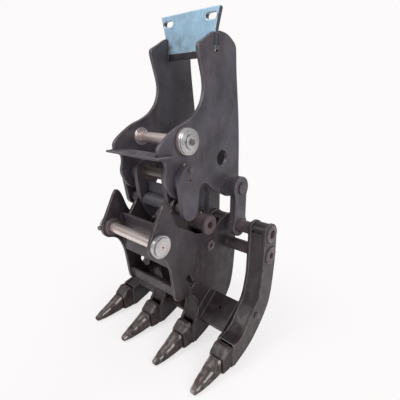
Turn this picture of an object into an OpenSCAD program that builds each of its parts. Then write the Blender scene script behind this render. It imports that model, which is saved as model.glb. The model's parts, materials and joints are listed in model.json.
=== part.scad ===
/* [Frame] */
// distance between neighbouring tines, the length every outline share refers to
tine_pitch = 250; // [180:5:340]
// thickness of the two tall side plates
side_t = 18; // [12:1:30]
// clear distance between the two tall side plates
frame_gap = 276; // [180:2:420]
// radius of the round sight hole in each side plate
sight_r = 40; // [20:1:60]
// thickness of the stop plate that crosses the side plates
stop_t = 10; // [6:1:20]
// full width of the stop plate
stop_w = 352; // [300:2:520]
// depth of the stop plate from front to back
stop_d = 96; // [50:1:160]
// thickness of the cross plate that ties the heads of the side plates
head_t = 12; // [8:1:25]
// height of that cross plate
head_h = 30; // [20:1:140]
// height of the cross plate low at the back of the frame
rear_tie_h = 130; // [60:2:200]
/* [Stick bracket] */
// thickness of the bracket plate
bracket_t = 24; // [8:1:40]
// full width of the bracket plate along its top edge
bracket_w = 358; // [316:2:480]
// height of the bracket plate
bracket_h = 168; // [100:2:260]
// corner radius of the bracket plate
bracket_corner_r = 6; // [2:1:20]
// distance from either end of the top edge to the slot centre
slot_edge = 47.5; // [34:0.5:90]
// half the width of each slot
slot_r = 14; // [6:0.5:18]
// distance between the two round ends of a slot, centre to centre
slot_travel = 34; // [6:1:60]
// distance from the top edge down to the slot centres
slot_drop = 34; // [20:1:80]
// radius of the relief hole at the foot of each slit
relief_r = 13; // [6:0.5:16]
/* [Pins] */
// radius of the stick pin, the arm pin, the jaw pin and the link pin
pin_r = 25; // [18:0.5:40]
// radial clearance of a pin that turns in its bush
pin_fit = 0.05; // [0.01:0.01:0.1]
// radial clearance of parts that are set in place without turning
seat_fit = 0.02; // [0.01:0.01:0.1]
// free gap between moving faces
face_gap = 1; // [0.3:0.1:3]
// radius of the rear pins at the tops of the links
rear_pin_r = 22; // [14:0.5:36]
// wall thickness of a bush around a pin
bush_wall = 8; // [4:0.5:16]
// outer radius of the bosses around the arm pin
boss_r = 58; // [40:1:80]
// how far the outer bosses stand off the side plates
boss_out = 22; // [10:1:50]
// outer radius of the round caps on the stick pin
cap_r = 56; // [40:1:80]
// thickness of a round pin cap
cap_t = 10; // [5:1:20]
// radius of the raised hub on each cap
cap_hub_r = 30; // [18:1:50]
// height of the raised hub on each cap
cap_hub_t = 8; // [3:1:16]
// radius of the small drilled hole in each pin end
centre_hole_r = 5; // [2:0.5:10]
// depth of the small drilled hole in each pin end
centre_hole_d = 16; // [6:1:40]
/* [Arms] */
// thickness of each front arm
arm_t = 25; // [16:1:40]
// distance from the middle plane to the inner face of each arm
arm_in = 84; // [50:1:120]
// radius of the upper end of an outer arm
outer_arm_r = 66; // [50:1:80]
// radius of the lower end of an outer arm
outer_foot_r = 46; // [42:1:64]
// thickness of an outer arm
outer_arm_t = 24; // [12:1:40]
// wall left outside each eye of an outer arm
eye_wall = 6; // [3:0.5:10]
// thickness of a jaw lug
lug_t = 18; // [10:1:26]
// radius of the round eye of a jaw lug
lug_r = 50; // [42:1:60]
// outer radius of the tube that ties the arms around the jaw pin
arm_tube_r = 38; // [32:1:50]
// thickness of the web between the arms
web_t = 14; // [8:1:24]
// wall thickness of the tubes
tube_wall = 8; // [4:1:16]
/* [Links] */
// thickness of each rear link
link_t = 38; // [16:1:40]
// gap between the jaw cheek and the link beside it
link_gap = 30; // [2:0.5:40]
// gap between an inner tine plate and the inner link beside it
inner_gap = 5; // [2:0.5:12]
// how far the rear pins and the upper tie tubes reach past the inner links
inner_reach = 4; // [2:0.5:12]
// radius of the upper link eye
link_eye_r = 60; // [36:1:70]
// half the width of the link between its eyes
link_half_w = 48; // [26:1:60]
// radial clearance of the lower link eye, the pivot that is left open
open_fit = 1.8; // [0.3:0.1:2]
/* [Jaw] */
// thickness of the jaw cheeks and tine plates
cheek_t = 16; // [10:1:25]
// full width of one boxed tine
tine_w = 100; // [70:1:140]
// radius of the ends of the rounded slot low in each cheek
notch_r = 17; // [8:1:30]
// thickness of the straps that close a boxed tine
strap_t = 12; // [8:1:20]
// outer radius of the upper and lower tie tubes
tie_r = 32; // [22:1:45]
// outer radius of the rings around the tie tube ends
ring_r = 44; // [34:1:60]
// thickness of the rings around the tie tube ends
ring_t = 8; // [4:1:16]
// outer radius of the jaw hubs
hub_r = 48; // [36:1:70]
// bore radius of the jaw hubs
hub_bore_r = 19; // [10:1:34]
// how far a hub stands off the cheek
hub_out = 10; // [4:1:30]
// outer radius of the flanges on the link pin
flange_r = 50; // [36:1:70]
// thickness of the flanges on the link pin
flange_t = 12; // [6:1:24]
// outer radius of the collars beside the ears
collar_r = 42; // [34:1:60]
// thickness of the plates that close the jaw front
front_t = 14; // [8:1:24]
// thickness of the cross beam from face to back
beam_t = 60; // [30:1:90]
/* [Teeth] */
// width of a tooth at its root
tooth_w = 68; // [60:1:120]
// width of a tooth at its tip
tip_w = 28; // [20:1:80]
// width of a tooth adapter
adapter_w = 86; // [60:1:120]
// width of the adapter nose inside the tooth
nose_w = 34; // [30:1:80]
// play between the tooth pocket and the adapter nose
nose_fit = 1; // [0.5:0.1:3]
// radius of the pin that locks a tooth
tooth_pin_r = 8; // [5:0.5:14]
/* [Fasteners] */
// across flats of the bolt heads
bolt_af = 24; // [12:1:40]
// width across flats of the small bolt across the link pin
cross_af = 19; // [13:1:27]
// height of a bolt head
bolt_h = 9; // [4:1:16]
// outer radius of a washer
washer_r = 17; // [10:1:26]
// thickness of a washer
washer_t = 4; // [2:0.5:8]
// radius of a bolt shank
bolt_r = 7; // [4:0.5:12]
// radius of a grease nipple body
nipple_r = 5; // [3:0.5:8]
// length of a grease nipple
nipple_l = 13; // [8:1:24]
/* [Hidden] */
// overrun of every cut past the face it opens
over = tine_pitch/125;
// facets of a round
$fn = 96;
// places as shares of the tine pitch, y backward and z up, measured from the line of the tooth tips
stick_pin_share = [0.83, 4.21];
arm_pin_share = [0.76, 3.565];
jaw_pin_share = [0.77, 3.01];
rear_pin_share = [2.12, 3.17];
tie_up_share = [2.12, 2.37];
tie_low_share = [2.13, 1.91];
link_pin_share = [0.09, 2.54];
hub_share = [1.40, 2.53];
second_share = [1.47, 2.06];
sight_share = [1.90, 3.78];
// outline of a side plate, from the head corner round by the rear edge to the front nose
side_shares = [
  [1.196, 5.78], [1.30, 5.84], [1.43, 5.913], [1.565, 5.99], [1.70, 6.03], [1.834, 6.035], [1.99, 6.01],
  [2.14, 5.94], [2.252, 5.854], [2.28, 5.74], [2.30, 5.50], [2.33, 5.25], [2.37, 4.98], [2.41, 4.70],
  [2.44, 4.45], [2.47, 4.10], [2.49, 3.77], [2.50, 3.50], [2.51, 3.28], [2.48, 3.11], [2.39, 2.98], [2.26, 2.92], [2.10, 2.94],
  [1.92, 3.03], [1.70, 3.15], [1.55, 3.25], [1.45, 3.34], [1.36, 3.37], [1.27, 3.34], [1.21, 3.26],
  [1.15, 3.19], [1.05, 3.19], [0.93, 3.24], [0.78, 3.22], [0.62, 3.23], [0.50, 3.29], [0.42, 3.39], [0.36, 3.50], [0.34, 3.62], [0.38, 3.78],
  [0.36, 3.90], [0.25, 3.98], [0.21, 4.06], [0.23, 4.15], [0.32, 4.24], [0.48, 4.35], [0.68, 4.46], [0.86, 4.52], [1.05, 4.61], [1.18, 4.72],
  [1.27, 4.84], [1.32, 4.97], [1.34, 5.10], [1.32, 5.25], [1.27, 5.42], [1.22, 5.58], [1.19, 5.70]];
// outline of a jaw cheek: ear, tine, foot and front edge
cheek_shares = [
  [0.19, 3.20], [0.26, 3.25], [0.33, 3.19], [0.40, 3.04], [0.46, 2.88], [0.54, 2.75], [0.66, 2.68],
  [0.80, 2.60], [0.92, 2.53], [1.04, 2.45], [1.18, 2.41], [1.40, 2.40], [1.62, 2.42],
  [1.78, 2.50], [1.92, 2.56], [2.12, 2.58], [2.27, 2.52], [2.34, 2.38], [2.355, 2.07], [2.36, 1.76], [2.34, 1.50],
  [2.31, 1.20], [2.26, 0.93], [2.18, 0.73], [2.00, 0.51], [1.80, 0.33], [1.61, 0.19], [1.40, 0.09],
  [1.16, 0.02], [0.98, -0.02], [0.95, 0.10], [0.95, 0.38], [0.98, 0.47], [1.07, 0.60], [1.10, 0.80],
  [1.04, 1.00], [0.94, 1.14], [0.78, 1.20], [0.62, 1.20], [0.48, 1.24], [0.43, 1.34], [0.40, 1.55],
  [0.36, 1.85], [0.31, 2.05], [0.22, 2.22], [0.10, 2.31], [-0.03, 2.35], [-0.12, 2.45], [-0.12, 2.60],
  [-0.05, 2.76], [0.07, 2.98]];
// outline of an inner arm, and of a jaw lug below its round eye
arm_shares = [
  [0.51, 3.62], [0.59, 3.76], [0.76, 3.81], [0.93, 3.76], [1.01, 3.62], [1.00, 3.45], [0.97, 3.22],
  [0.98, 3.00], [1.00, 2.80], [0.97, 2.66], [0.88, 2.60], [0.78, 2.66], [0.68, 2.86], [0.60, 3.04],
  [0.56, 3.22], [0.53, 3.42]];
lug_shares = [
  [0.362, 2.74], [0.393, 2.12], [0.66, 2.05], [0.90, 2.30], [0.96, 2.75], [0.97, 3.01], [0.57, 3.01]];
// outline of the inner plate of an inner tine
inner_shares = [
  [1.02, 2.30], [1.08, 2.40], [1.18, 2.43], [1.40, 2.40], [1.62, 2.42], [1.78, 2.50], [1.92, 2.56],
  [2.12, 2.58], [2.27, 2.52], [2.34, 2.38], [2.355, 2.07], [2.36, 1.76], [2.34, 1.50], [2.31, 1.20],
  [2.26, 0.93], [2.18, 0.73], [2.00, 0.51], [1.80, 0.33], [1.61, 0.19], [1.40, 0.09], [1.16, 0.02],
  [0.98, -0.02], [0.95, 0.10], [0.95, 0.38], [0.98, 0.47], [1.07, 0.60], [1.10, 0.80], [1.06, 1.00],
  [1.00, 1.20], [0.98, 1.50], [0.99, 1.90]];
// outline of a plain tine plate
tine_shares = [
  [1.90, 2.50], [1.98, 2.57], [2.14, 2.58], [2.27, 2.52], [2.34, 2.38], [2.355, 2.07], [2.36, 1.76],
  [2.34, 1.50], [2.31, 1.20], [2.26, 0.93], [2.18, 0.73], [2.00, 0.51], [1.80, 0.33], [1.61, 0.19],
  [1.40, 0.09], [1.16, 0.02], [0.98, -0.02], [0.95, 0.10], [0.95, 0.38], [0.99, 0.46], [1.21, 0.51],
  [1.41, 0.63], [1.65, 0.89], [1.77, 1.07], [1.84, 1.31], [1.88, 1.53], [1.89, 1.90], [1.90, 2.20]];
// centre lines of the straps at the back and at the front of a boxed tine
back_strap_shares = [
  [1.95, 2.405], [1.975, 2.475], [2.04, 2.53], [2.13, 2.545], [2.225, 2.51], [2.285, 2.41],
  [2.285, 2.25], [2.29, 2.07], [2.295, 1.76], [2.275, 1.50], [2.245, 1.22], [2.195, 0.96], [2.12, 0.77],
  [1.95, 0.56], [1.76, 0.39], [1.58, 0.26], [1.39, 0.16], [1.16, 0.09]];
face_strap_shares = [
  [1.945, 2.395], [1.945, 2.15], [1.94, 1.90], [1.93, 1.53], [1.89, 1.30], [1.82, 1.06],
  [1.69, 0.855], [1.445, 0.59], [1.225, 0.46], [0.98, 0.415]];
// how many of those points the front strap of an inner tine uses
inner_points = 6;
// centre line of the plate that closes the front of an inner tine box
chest_shares = [
  [1.05, 2.36], [1.03, 2.00], [1.03, 1.55], [1.06, 1.15], [1.11, 0.98], [1.145, 0.80], [1.115, 0.60],
  [1.02, 0.42]];
// outline of the adapter body, of its nose, and of the tooth that sits on the nose
adapter_shares = [
  [0.945, 0.44], [0.90, 0.48], [0.83, 0.485], [0.69, 0.36], [0.665, 0.33], [0.675, 0.20], [0.69, 0.06],
  [0.70, -0.03], [0.87, -0.05], [0.945, -0.04]];
shank_shares = [[1.08, 0.36], [0.90, 0.40], [0.90, 0.00], [1.08, 0.06]];
nose_shares = [[0.74, 0.24], [0.62, 0.22], [0.48, 0.155], [0.46, 0.115], [0.48, 0.07], [0.74, 0.05]];
tooth_shares = [
  [-0.012, 0.0], [0.02, 0.05], [0.38, 0.19], [0.55, 0.275], [0.645, 0.325], [0.655, 0.20], [0.67, 0.08],
  [0.68, -0.01], [0.55, -0.02], [0.38, -0.03], [0.18, -0.03], [0.02, -0.028]];
tooth_pin_share = [0.56, 0.13];
// where the tooth starts to narrow and where its tip ends
taper_shares = [0.66, -0.02];
// face line of the cross beam, from its upper to its lower edge
beam_shares = [[1.66, 0.90], [1.13, 0.50]];
// plates of the jaw front: shares of their upper and lower edges
front_plate_shares = [[0.33, 2.78], [0.37, 1.98]];
arm_web_shares = [[0.81, 3.36], [0.80, 3.17]];
notch_shares = [[0.80, 1.60], [0.90, 1.42]];
tine_bolt_share = [1.73, 0.72];
beam_hole_share = 0.42;
notch_waist_share = 0.96;
lower_plate_shares = [[0.49, 1.50], [0.55, 1.27]];
belly_plate_shares = [[0.62, 1.24], [0.90, 1.20]];
stop_share = [0.13, 3.99];
bracket_share = [1.63, 6.40];
// height at which the bracket plate starts to widen past the side plates
bracket_step_share = 6.05;
rear_tie_share = [2.20, 3.97];
// how many points a smooth outline gets between two table points
smooth_n = 3;

function at(p) = [(p[0] - stick_pin_share[0])*tine_pitch, (p[1] - stick_pin_share[1])*tine_pitch];
function along(a, b, t) = [a[0] + (b[0] - a[0])*t, a[1] + (b[1] - a[1])*t];
// a smooth closed outline through the points of a table
function soft(p, n) = [for (i = [0:len(p) - 1], k = [0:n - 1])
  let(a = p[(i + len(p) - 1) % len(p)], b = p[i], c = p[(i + 1) % len(p)], d = p[(i + 2) % len(p)],
      t = k/n)
  (b*2 + (c - a)*t + (a*2 - b*5 + c*4 - d)*t*t + (b*3 - a - c*3 + d)*t*t*t)/2];
function outline(shares) = [for (p = soft(shares, smooth_n)) at(p)];
function plain(shares) = [for (p = shares) at(p)];
// the same outline with every corner moved outward
function grown(p, d) = [for (i = [0:len(p) - 1])
  let(a = side_of(p[(i + len(p) - 1) % len(p)], p[i]), b = side_of(p[i], p[(i + 1) % len(p)]), m = a + b)
  p[i] + m*d/(m*m/2)];
// the four points where two common tangents touch two circles
function tangents(a, ra, b, rb) =
  let(v = b - a, u = [v[0], v[1]]/norm(v), n = [u[1], -u[0]], c = (ra - rb)/norm(v), s = sqrt(1 - c*c))
  [a + (u*c + n*s)*ra, b + (u*c + n*s)*rb, b + (u*c - n*s)*rb, a + (u*c - n*s)*ra];
function side_of(a, b) = let(l = norm(b - a)) [(b[1] - a[1])/l, -(b[0] - a[0])/l];
// a band of the given thickness along a line of points
function band(c, t) = concat(
  [for (i = [0:len(c) - 1]) c[i] + side_of(c[max(i - 1, 0)], c[min(i + 1, len(c) - 1)])*t/2],
  [for (i = [len(c) - 1:-1:0]) c[i] - side_of(c[max(i - 1, 0)], c[min(i + 1, len(c) - 1)])*t/2]);

stick_pin = at(stick_pin_share);
arm_pin = at(arm_pin_share);
rear_pin = at(rear_pin_share);
tie_up = at(tie_up_share);
tie_low = at(tie_low_share);
link_pin = at(link_pin_share);
hub = at(hub_share);
second = at(second_share);
sight = at(sight_share);
jaw_pin = at(jaw_pin_share);
tooth_pin = at(tooth_pin_share);

side_in = frame_gap/2;
side_out = side_in + side_t;
inner_x = tine_pitch/2;
outer_x = inner_x + tine_pitch;
cheek_out = inner_x + tine_w/2;
cheek_in = cheek_out - cheek_t;
plate_in = inner_x - tine_w/2;
far_in = outer_x - tine_w/2;
far_out = outer_x + tine_w/2;
arm_out = arm_in + arm_t;
lug_in = arm_out + 3*face_gap;
lug_out = lug_in + lug_t;
bush_r = pin_r + bush_wall;
link_in = cheek_out + link_gap;
link_out = link_in + link_t;
boss_face = side_out + boss_out;
outer_arm_in = boss_face + face_gap;
outer_arm_out = outer_arm_in + outer_arm_t;
eye_face = outer_arm_out - eye_wall;
pin_end = eye_face - face_gap/2;
inner_link_out = plate_in - inner_gap;
inner_link_in = inner_link_out - link_t;
inner_end = inner_link_in - inner_reach;
rear_bush_r = rear_pin_r + bush_wall;
bracket_face = at(bracket_share)[0];
bracket_top = at(bracket_share)[1];
bracket_foot = bracket_top - bracket_h;
bracket_step = at([0, bracket_step_share])[1];
slot_z = bracket_top - slot_drop;
slot_x = bracket_w/2 - slot_edge;
stop_face = at(stop_share)[0];
stop_z = at(stop_share)[1];
pin_bore = pin_r + pin_fit;

// a plate cut to an outline, standing across the width from x0 to x1
module slab(pts, x0, x1) translate([x0, 0, 0]) rotate([90, 0, 90]) linear_extrude(x1 - x0) polygon(pts);
module rod(p, r, x0, x1) translate([x0, p[0], p[1]]) rotate([0, 90, 0]) cylinder(r = r, h = x1 - x0);
module pipe(p, r, r_in, x0, x1) difference() {
  rod(p, r, x0, x1);
  rod(p, r_in, x0 - over, x1 + over);
}
module both() {
  children();
  mirror([1, 0, 0]) children();
}
module box(a, b) translate(a) cube(b - a);
// a hexagon head with its shank, pointing outward from the face at x
module bolt(p, x, shank) {
  translate([x, p[0], p[1]]) rotate([0, 90, 0]) cylinder(r = bolt_af/sqrt(3), h = bolt_h, $fn = 6);
  rod(p, bolt_r, x - shank, x + over);
}
module side_plate() difference() {
  union() {
    slab(outline(side_shares), side_in, side_out);
  }
  rod(stick_pin, bush_r + seat_fit, side_in - over, side_out + over);
  rod(arm_pin, bush_r + seat_fit, side_in - over, side_out + over);
  rod(rear_pin, rear_bush_r + seat_fit, side_in - over, side_out + over);
  rod(sight, sight_r, side_in - over, side_out + over);
  box([side_in - over, bracket_face - seat_fit, bracket_foot - seat_fit],
    [side_out + over, bracket_face + bracket_t + seat_fit, bracket_top]);
  rod([bracket_face + bracket_t/2, bracket_foot - seat_fit], relief_r, side_in - over, side_out + over);
  box([side_in - over, stop_face - over, stop_z - stop_t/2 - seat_fit],
    [side_out + over, stop_face + stop_d + seat_fit, stop_z + stop_t/2 + seat_fit]);
}
module side_plate_near() color([0.20, 0.19, 0.21]) side_plate();
module side_plate_far() color([0.20, 0.19, 0.21]) mirror([1, 0, 0]) side_plate();
module stick_bracket() color([0.62, 0.68, 0.74]) difference() {
  translate([0, bracket_face + bracket_t, 0]) rotate([90, 0, 0]) linear_extrude(bracket_t)
    difference() {
      offset(r = bracket_corner_r) offset(delta = -bracket_corner_r) polygon([
        [-side_out, bracket_foot], [side_out, bracket_foot], [side_out, bracket_step],
        [bracket_w/2, bracket_top], [-bracket_w/2, bracket_top], [-side_out, bracket_step]]);
      for (s = [-1, 1]) {
        for (k = [-1, 1]) translate([s*slot_x + k*slot_travel/2, slot_z]) circle(r = slot_r);
        translate([s*slot_x - slot_travel/2, slot_z - slot_r]) square([slot_travel, 2*slot_r]);
      }
    }
}
// a plate across the frame, hanging down from a place in the side view
module cross_plate(p, h) box([-side_in, p[0], p[1] - h], [side_in, p[0] + head_t, p[1]]);
module head_tie() color([0.16, 0.15, 0.16]) cross_plate([bracket_face, bracket_foot - seat_fit], head_h);
module rear_tie() color([0.16, 0.15, 0.16]) cross_plate(at(rear_tie_share), rear_tie_h);
module stop_plate() color([0.22, 0.20, 0.20])
  box([-stop_w/2, stop_face, stop_z - stop_t/2], [stop_w/2, stop_face + stop_d, stop_z + stop_t/2]);
module centre_holes(p, x) both() rod(p, centre_hole_r, x - centre_hole_d, x + over);
module stick_pin_shaft() color([0.72, 0.70, 0.66]) difference() {
  rod(stick_pin, pin_r, -boss_face, boss_face);
  centre_holes(stick_pin, boss_face);
}
// the caps cover the pin ends and are bolted to the outer bosses
module stick_pin_caps() color([0.70, 0.70, 0.70]) both() difference() {
  union() {
    rod(stick_pin, cap_r, boss_face, boss_face + cap_t);
    rod(stick_pin, cap_hub_r, boss_face, boss_face + cap_t + cap_hub_t);
  }
  rod(stick_pin, bolt_r + seat_fit, boss_face - over, boss_face + cap_t + cap_hub_t + over);
}

module ring_boss(p, r_in) {
  pipe(p, boss_r, r_in, side_out, boss_face);
  pipe(p, bush_r, r_in, side_in, side_out + over);
}
// a ring welded to the inner face of a side plate
module inner_ring(p, r, r_in, t) pipe(p, r, r_in, side_in - t, side_in);
module stick_pin_bosses() color([0.24, 0.23, 0.24]) both() {
  union() ring_boss(stick_pin, pin_r + seat_fit);
  inner_ring(stick_pin, collar_r, pin_r + seat_fit, flange_t);
}
module stick_pin_bolts() color([0.60, 0.60, 0.62]) both()
  union() bolt(stick_pin, boss_face + cap_t + cap_hub_t, centre_hole_d);
module arm_pin_shaft() color([0.66, 0.64, 0.60]) difference() {
  rod(arm_pin, pin_r, -pin_end, pin_end);
  centre_holes(arm_pin, pin_end);
}
keeper = [arm_pin[0], arm_pin[1] + (bush_r + outer_arm_r)/2 - washer_t];
nipple_x = (side_out + boss_face)/2;
module arm_pin_bosses() color([0.24, 0.23, 0.24]) both() {
  difference() {
    union() ring_boss(arm_pin, pin_r + seat_fit);
    translate([nipple_x, arm_pin[0], arm_pin[1] + boss_r - nipple_l/2])
      cylinder(r = nipple_r + seat_fit, h = nipple_l);
  }
  inner_ring(arm_pin, boss_r - bush_wall, pin_r + seat_fit, flange_t);
}
module arm_pin_spacers() color([0.50, 0.48, 0.44]) both()
  pipe(arm_pin, collar_r, pin_bore, arm_out + face_gap, side_in - flange_t - face_gap/2);
module arm_pin_keepers() color([0.40, 0.38, 0.38]) both() union()
  bolt(keeper, outer_arm_out, outer_arm_t/2);
module grease_nipples_frame() color([0.72, 0.66, 0.50]) both()
  translate([nipple_x, arm_pin[0], arm_pin[1] + boss_r - nipple_l/2]) union() {
    cylinder(r = nipple_r, h = nipple_l);
    cylinder(r = nipple_r/2, h = nipple_l*1.4);
  }
module rear_pins() color([0.66, 0.64, 0.60]) both() difference() {
  union() {
    rod(rear_pin, rear_pin_r, inner_end, link_out + face_gap);
    rod(rear_pin, rear_bush_r + bush_wall, side_in - flange_t, side_in);
  }
  rod(rear_pin, bolt_r + seat_fit, link_out - centre_hole_d, link_out + over);
}
module rear_pin_bosses() color([0.24, 0.23, 0.24]) both() union() {
  pipe(rear_pin, link_eye_r - bush_wall, rear_pin_r + seat_fit, side_out, link_in - face_gap);
  pipe(rear_pin, rear_bush_r, rear_pin_r + seat_fit, side_in, side_out + over);
}
module rear_pin_caps() color([0.40, 0.38, 0.38]) both() union() {
  rod(rear_pin, rear_bush_r, link_out + face_gap, link_out + face_gap + cap_hub_t);
  rod(rear_pin, bolt_r, link_out - centre_hole_d + over, link_out + face_gap + over);
}
// a straight bar with a round eye at either end
module bar(a, b, r_eye, half, x0, x1) {
  rod(a, r_eye, x0, x1);
  rod(b, r_eye, x0, x1);
  slab([a + side_of(a, b)*half, b + side_of(a, b)*half, b - side_of(a, b)*half, a - side_of(a, b)*half],
    x0, x1);
}
module arm() difference() {
  slab(outline(arm_shares), arm_in, arm_out);
  for (p = [arm_pin, jaw_pin]) rod(p, bush_r + seat_fit, arm_in - over, arm_out + over);
}
module outer_arm() difference() {
  union() {
    rod(arm_pin, outer_arm_r, outer_arm_in, outer_arm_out);
    rod(jaw_pin, outer_foot_r, outer_arm_in, outer_arm_out);
    slab(tangents(arm_pin, outer_arm_r, jaw_pin, outer_foot_r), outer_arm_in, outer_arm_out);
  }
  for (p = [arm_pin, jaw_pin]) rod(p, bush_r + seat_fit, outer_arm_in - over, eye_face);
  rod(arm_pin, centre_hole_r, outer_arm_in, outer_arm_out + over);
  rod(keeper, bolt_r + seat_fit, outer_arm_out - outer_arm_t*3/4, outer_arm_out + over);
}
module outer_arm_near() color([0.26, 0.25, 0.26]) outer_arm();
module outer_arm_far() color([0.26, 0.25, 0.26]) mirror([1, 0, 0]) outer_arm();
module arm_near() color([0.26, 0.25, 0.26]) arm();
module arm_far() color([0.26, 0.25, 0.26]) mirror([1, 0, 0]) arm();
module arm_tie_tube() color([0.26, 0.25, 0.26])
  pipe(jaw_pin, arm_tube_r, pin_r + face_gap, -arm_in, arm_in);
module arm_web() color([0.22, 0.21, 0.21]) across(arm_web_shares, web_t, arm_in);
module arm_bushes() color([0.55, 0.45, 0.25]) both()
  for (p = [arm_pin, jaw_pin]) {
    pipe(p, bush_r, pin_bore, arm_in, arm_out);
    pipe(p, bush_r, pin_bore, outer_arm_in, eye_face - seat_fit);
  }
module link(x) difference() {
  union() bar(rear_pin, tie_up, link_eye_r, link_half_w, x, x + link_t);
  rod(rear_pin, rear_bush_r + seat_fit, x - over, x + link_t + over);
  rod(tie_up, tie_r + open_fit, x - over, x + link_t + over);
}
module link_near() color([0.28, 0.27, 0.27]) link(link_in);
module link_far() color([0.28, 0.27, 0.27]) mirror([1, 0, 0]) link(link_in);
module inner_link_near() color([0.28, 0.27, 0.27]) link(inner_link_in);
module inner_link_far() color([0.28, 0.27, 0.27]) mirror([1, 0, 0]) link(inner_link_in);
module link_bush() color([0.55, 0.45, 0.25]) for (x = [link_in, inner_link_in])
  pipe(rear_pin, rear_bush_r, rear_pin_r + pin_fit, x, x + link_t);
module link_bush_near() link_bush();
module link_bush_far() mirror([1, 0, 0]) link_bush();
module tie_holes(x0, x1) for (p = [tie_up, tie_low]) rod(p, tie_r + seat_fit, x0 - over, x1 + over);
module cheek() difference() {
  slab(outline(cheek_shares), cheek_in, cheek_out);
  tie_holes(cheek_in, cheek_out);
  rod(hub, hub_r + seat_fit, cheek_in - over, cheek_out + over);
  rod(link_pin, bush_r + seat_fit, cheek_in - over, cheek_out + over);
  rod(second, hub_bore_r + seat_fit, cheek_in - over, cheek_out + over);
  notch();
}
// the rounded slot low in each cheek
module notch() {
  a = at(notch_shares[0]);
  b = at(notch_shares[1]);
  bar(a, b, notch_r, notch_r*notch_waist_share, cheek_in - over, cheek_out + over);
}
module cheek_near() color([0.24, 0.22, 0.22]) cheek();
module cheek_far() color([0.24, 0.22, 0.22]) mirror([1, 0, 0]) cheek();
module inner_tine_plates() color([0.24, 0.22, 0.22]) both() difference() {
  slab(outline(inner_shares), plate_in, plate_in + cheek_t);
  tie_holes(plate_in, plate_in + cheek_t);
  rod(hub, hub_r + seat_fit, plate_in - over, plate_in + cheek_t + over);
}
module outer_tine_plates() color([0.24, 0.22, 0.22]) both()
  for (x = [far_in, far_out - cheek_t]) difference() {
    slab(outline(tine_shares), x, x + cheek_t);
    tie_holes(x, x + cheek_t);
    rod(tine_bolt, bolt_r + seat_fit, far_in + cheek_t + over, far_out + over);
  }
tine_bolt = at(tine_bolt_share);
// a bolt with a washer low on the outer face of each outer tine
module tine_bolts() color([0.40, 0.38, 0.38]) both() union() {
  bolt(tine_bolt, far_out + washer_t, cheek_t + washer_t);
  rod(tine_bolt, washer_r, far_out, far_out + washer_t + over/4);
}
// a strap inside a boxed tine
module in_box(shares, c)
  slab(band(plain(shares), strap_t), c - tine_w/2 + cheek_t + seat_fit, c + tine_w/2 - cheek_t - seat_fit);
module back_straps() color([0.22, 0.20, 0.20]) both() for (c = [inner_x, outer_x]) in_box(back_strap_shares, c);
module face_straps() color([0.22, 0.20, 0.20]) both() {
  in_box([for (i = [0:inner_points - 1]) face_strap_shares[i]], inner_x);
  in_box(face_strap_shares, outer_x);
}
module chest_plates() color([0.22, 0.20, 0.20]) both() in_box(chest_shares, inner_x);
module jaw_hubs() color([0.27, 0.25, 0.25]) both() difference() {
  pipe(hub, hub_r, hub_bore_r, plate_in, cheek_out + hub_out);
  nipple_seat() cylinder(r = nipple_r + seat_fit, h = nipple_l);
}
module nipple_seat() translate([inner_x, hub[0], hub[1] + hub_r - nipple_l/2]) children();
module second_hole_rings() color([0.30, 0.28, 0.27]) both() union() {
  pipe(second, hub_bore_r + bush_wall, hub_bore_r - bush_wall, cheek_out, cheek_out + ring_t/2);
  pipe(second, hub_bore_r, hub_bore_r - bush_wall, cheek_in, cheek_out + over);
}
// the lugs inside the jaw that hold the jaw pin
module jaw_lugs() color([0.24, 0.22, 0.22]) both() difference() {
  union() {
    slab(plain(lug_shares), lug_in, lug_out);
    rod(jaw_pin, lug_r, lug_in, lug_out);
  }
  rod(jaw_pin, bush_r + seat_fit, lug_in - over, lug_out + over);
}
module jaw_pin_shaft() color([0.66, 0.64, 0.60]) rod(jaw_pin, pin_r, -pin_end, pin_end);
module jaw_pin_bosses() color([0.24, 0.22, 0.22]) both() union() {
  pipe(jaw_pin, bush_r, pin_r + seat_fit, lug_in, outer_arm_in - face_gap);
}
flange_x = cheek_out + flange_t;
module link_pin_shaft() color([0.74, 0.72, 0.68]) difference() {
  rod(link_pin, pin_r, -flange_x - flange_t, flange_x + flange_t);
  centre_holes(link_pin, flange_x + flange_t);
  cross_bore();
}
module cross_bore() translate([-flange_x, link_pin[0] - flange_r*2, link_pin[1]]) rotate([-90, 0, 0])
  cylinder(r = bolt_r + seat_fit, h = flange_r*4);
module link_pin_collars() color([0.30, 0.28, 0.27]) both() union() {
  pipe(link_pin, collar_r, pin_r + seat_fit, cheek_in - flange_t, cheek_in);
  pipe(link_pin, bush_r, pin_r + seat_fit, cheek_in - over, cheek_out);
}
module link_pin_flanges() color([0.70, 0.69, 0.66]) difference() {
  both() union() {
    pipe(link_pin, flange_r, pin_r + seat_fit, cheek_out, flange_x + flange_t/2);
    pipe(link_pin, flange_r - bush_wall, pin_r + seat_fit, cheek_out, flange_x + flange_t);
  }
  cross_bore();
}
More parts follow.
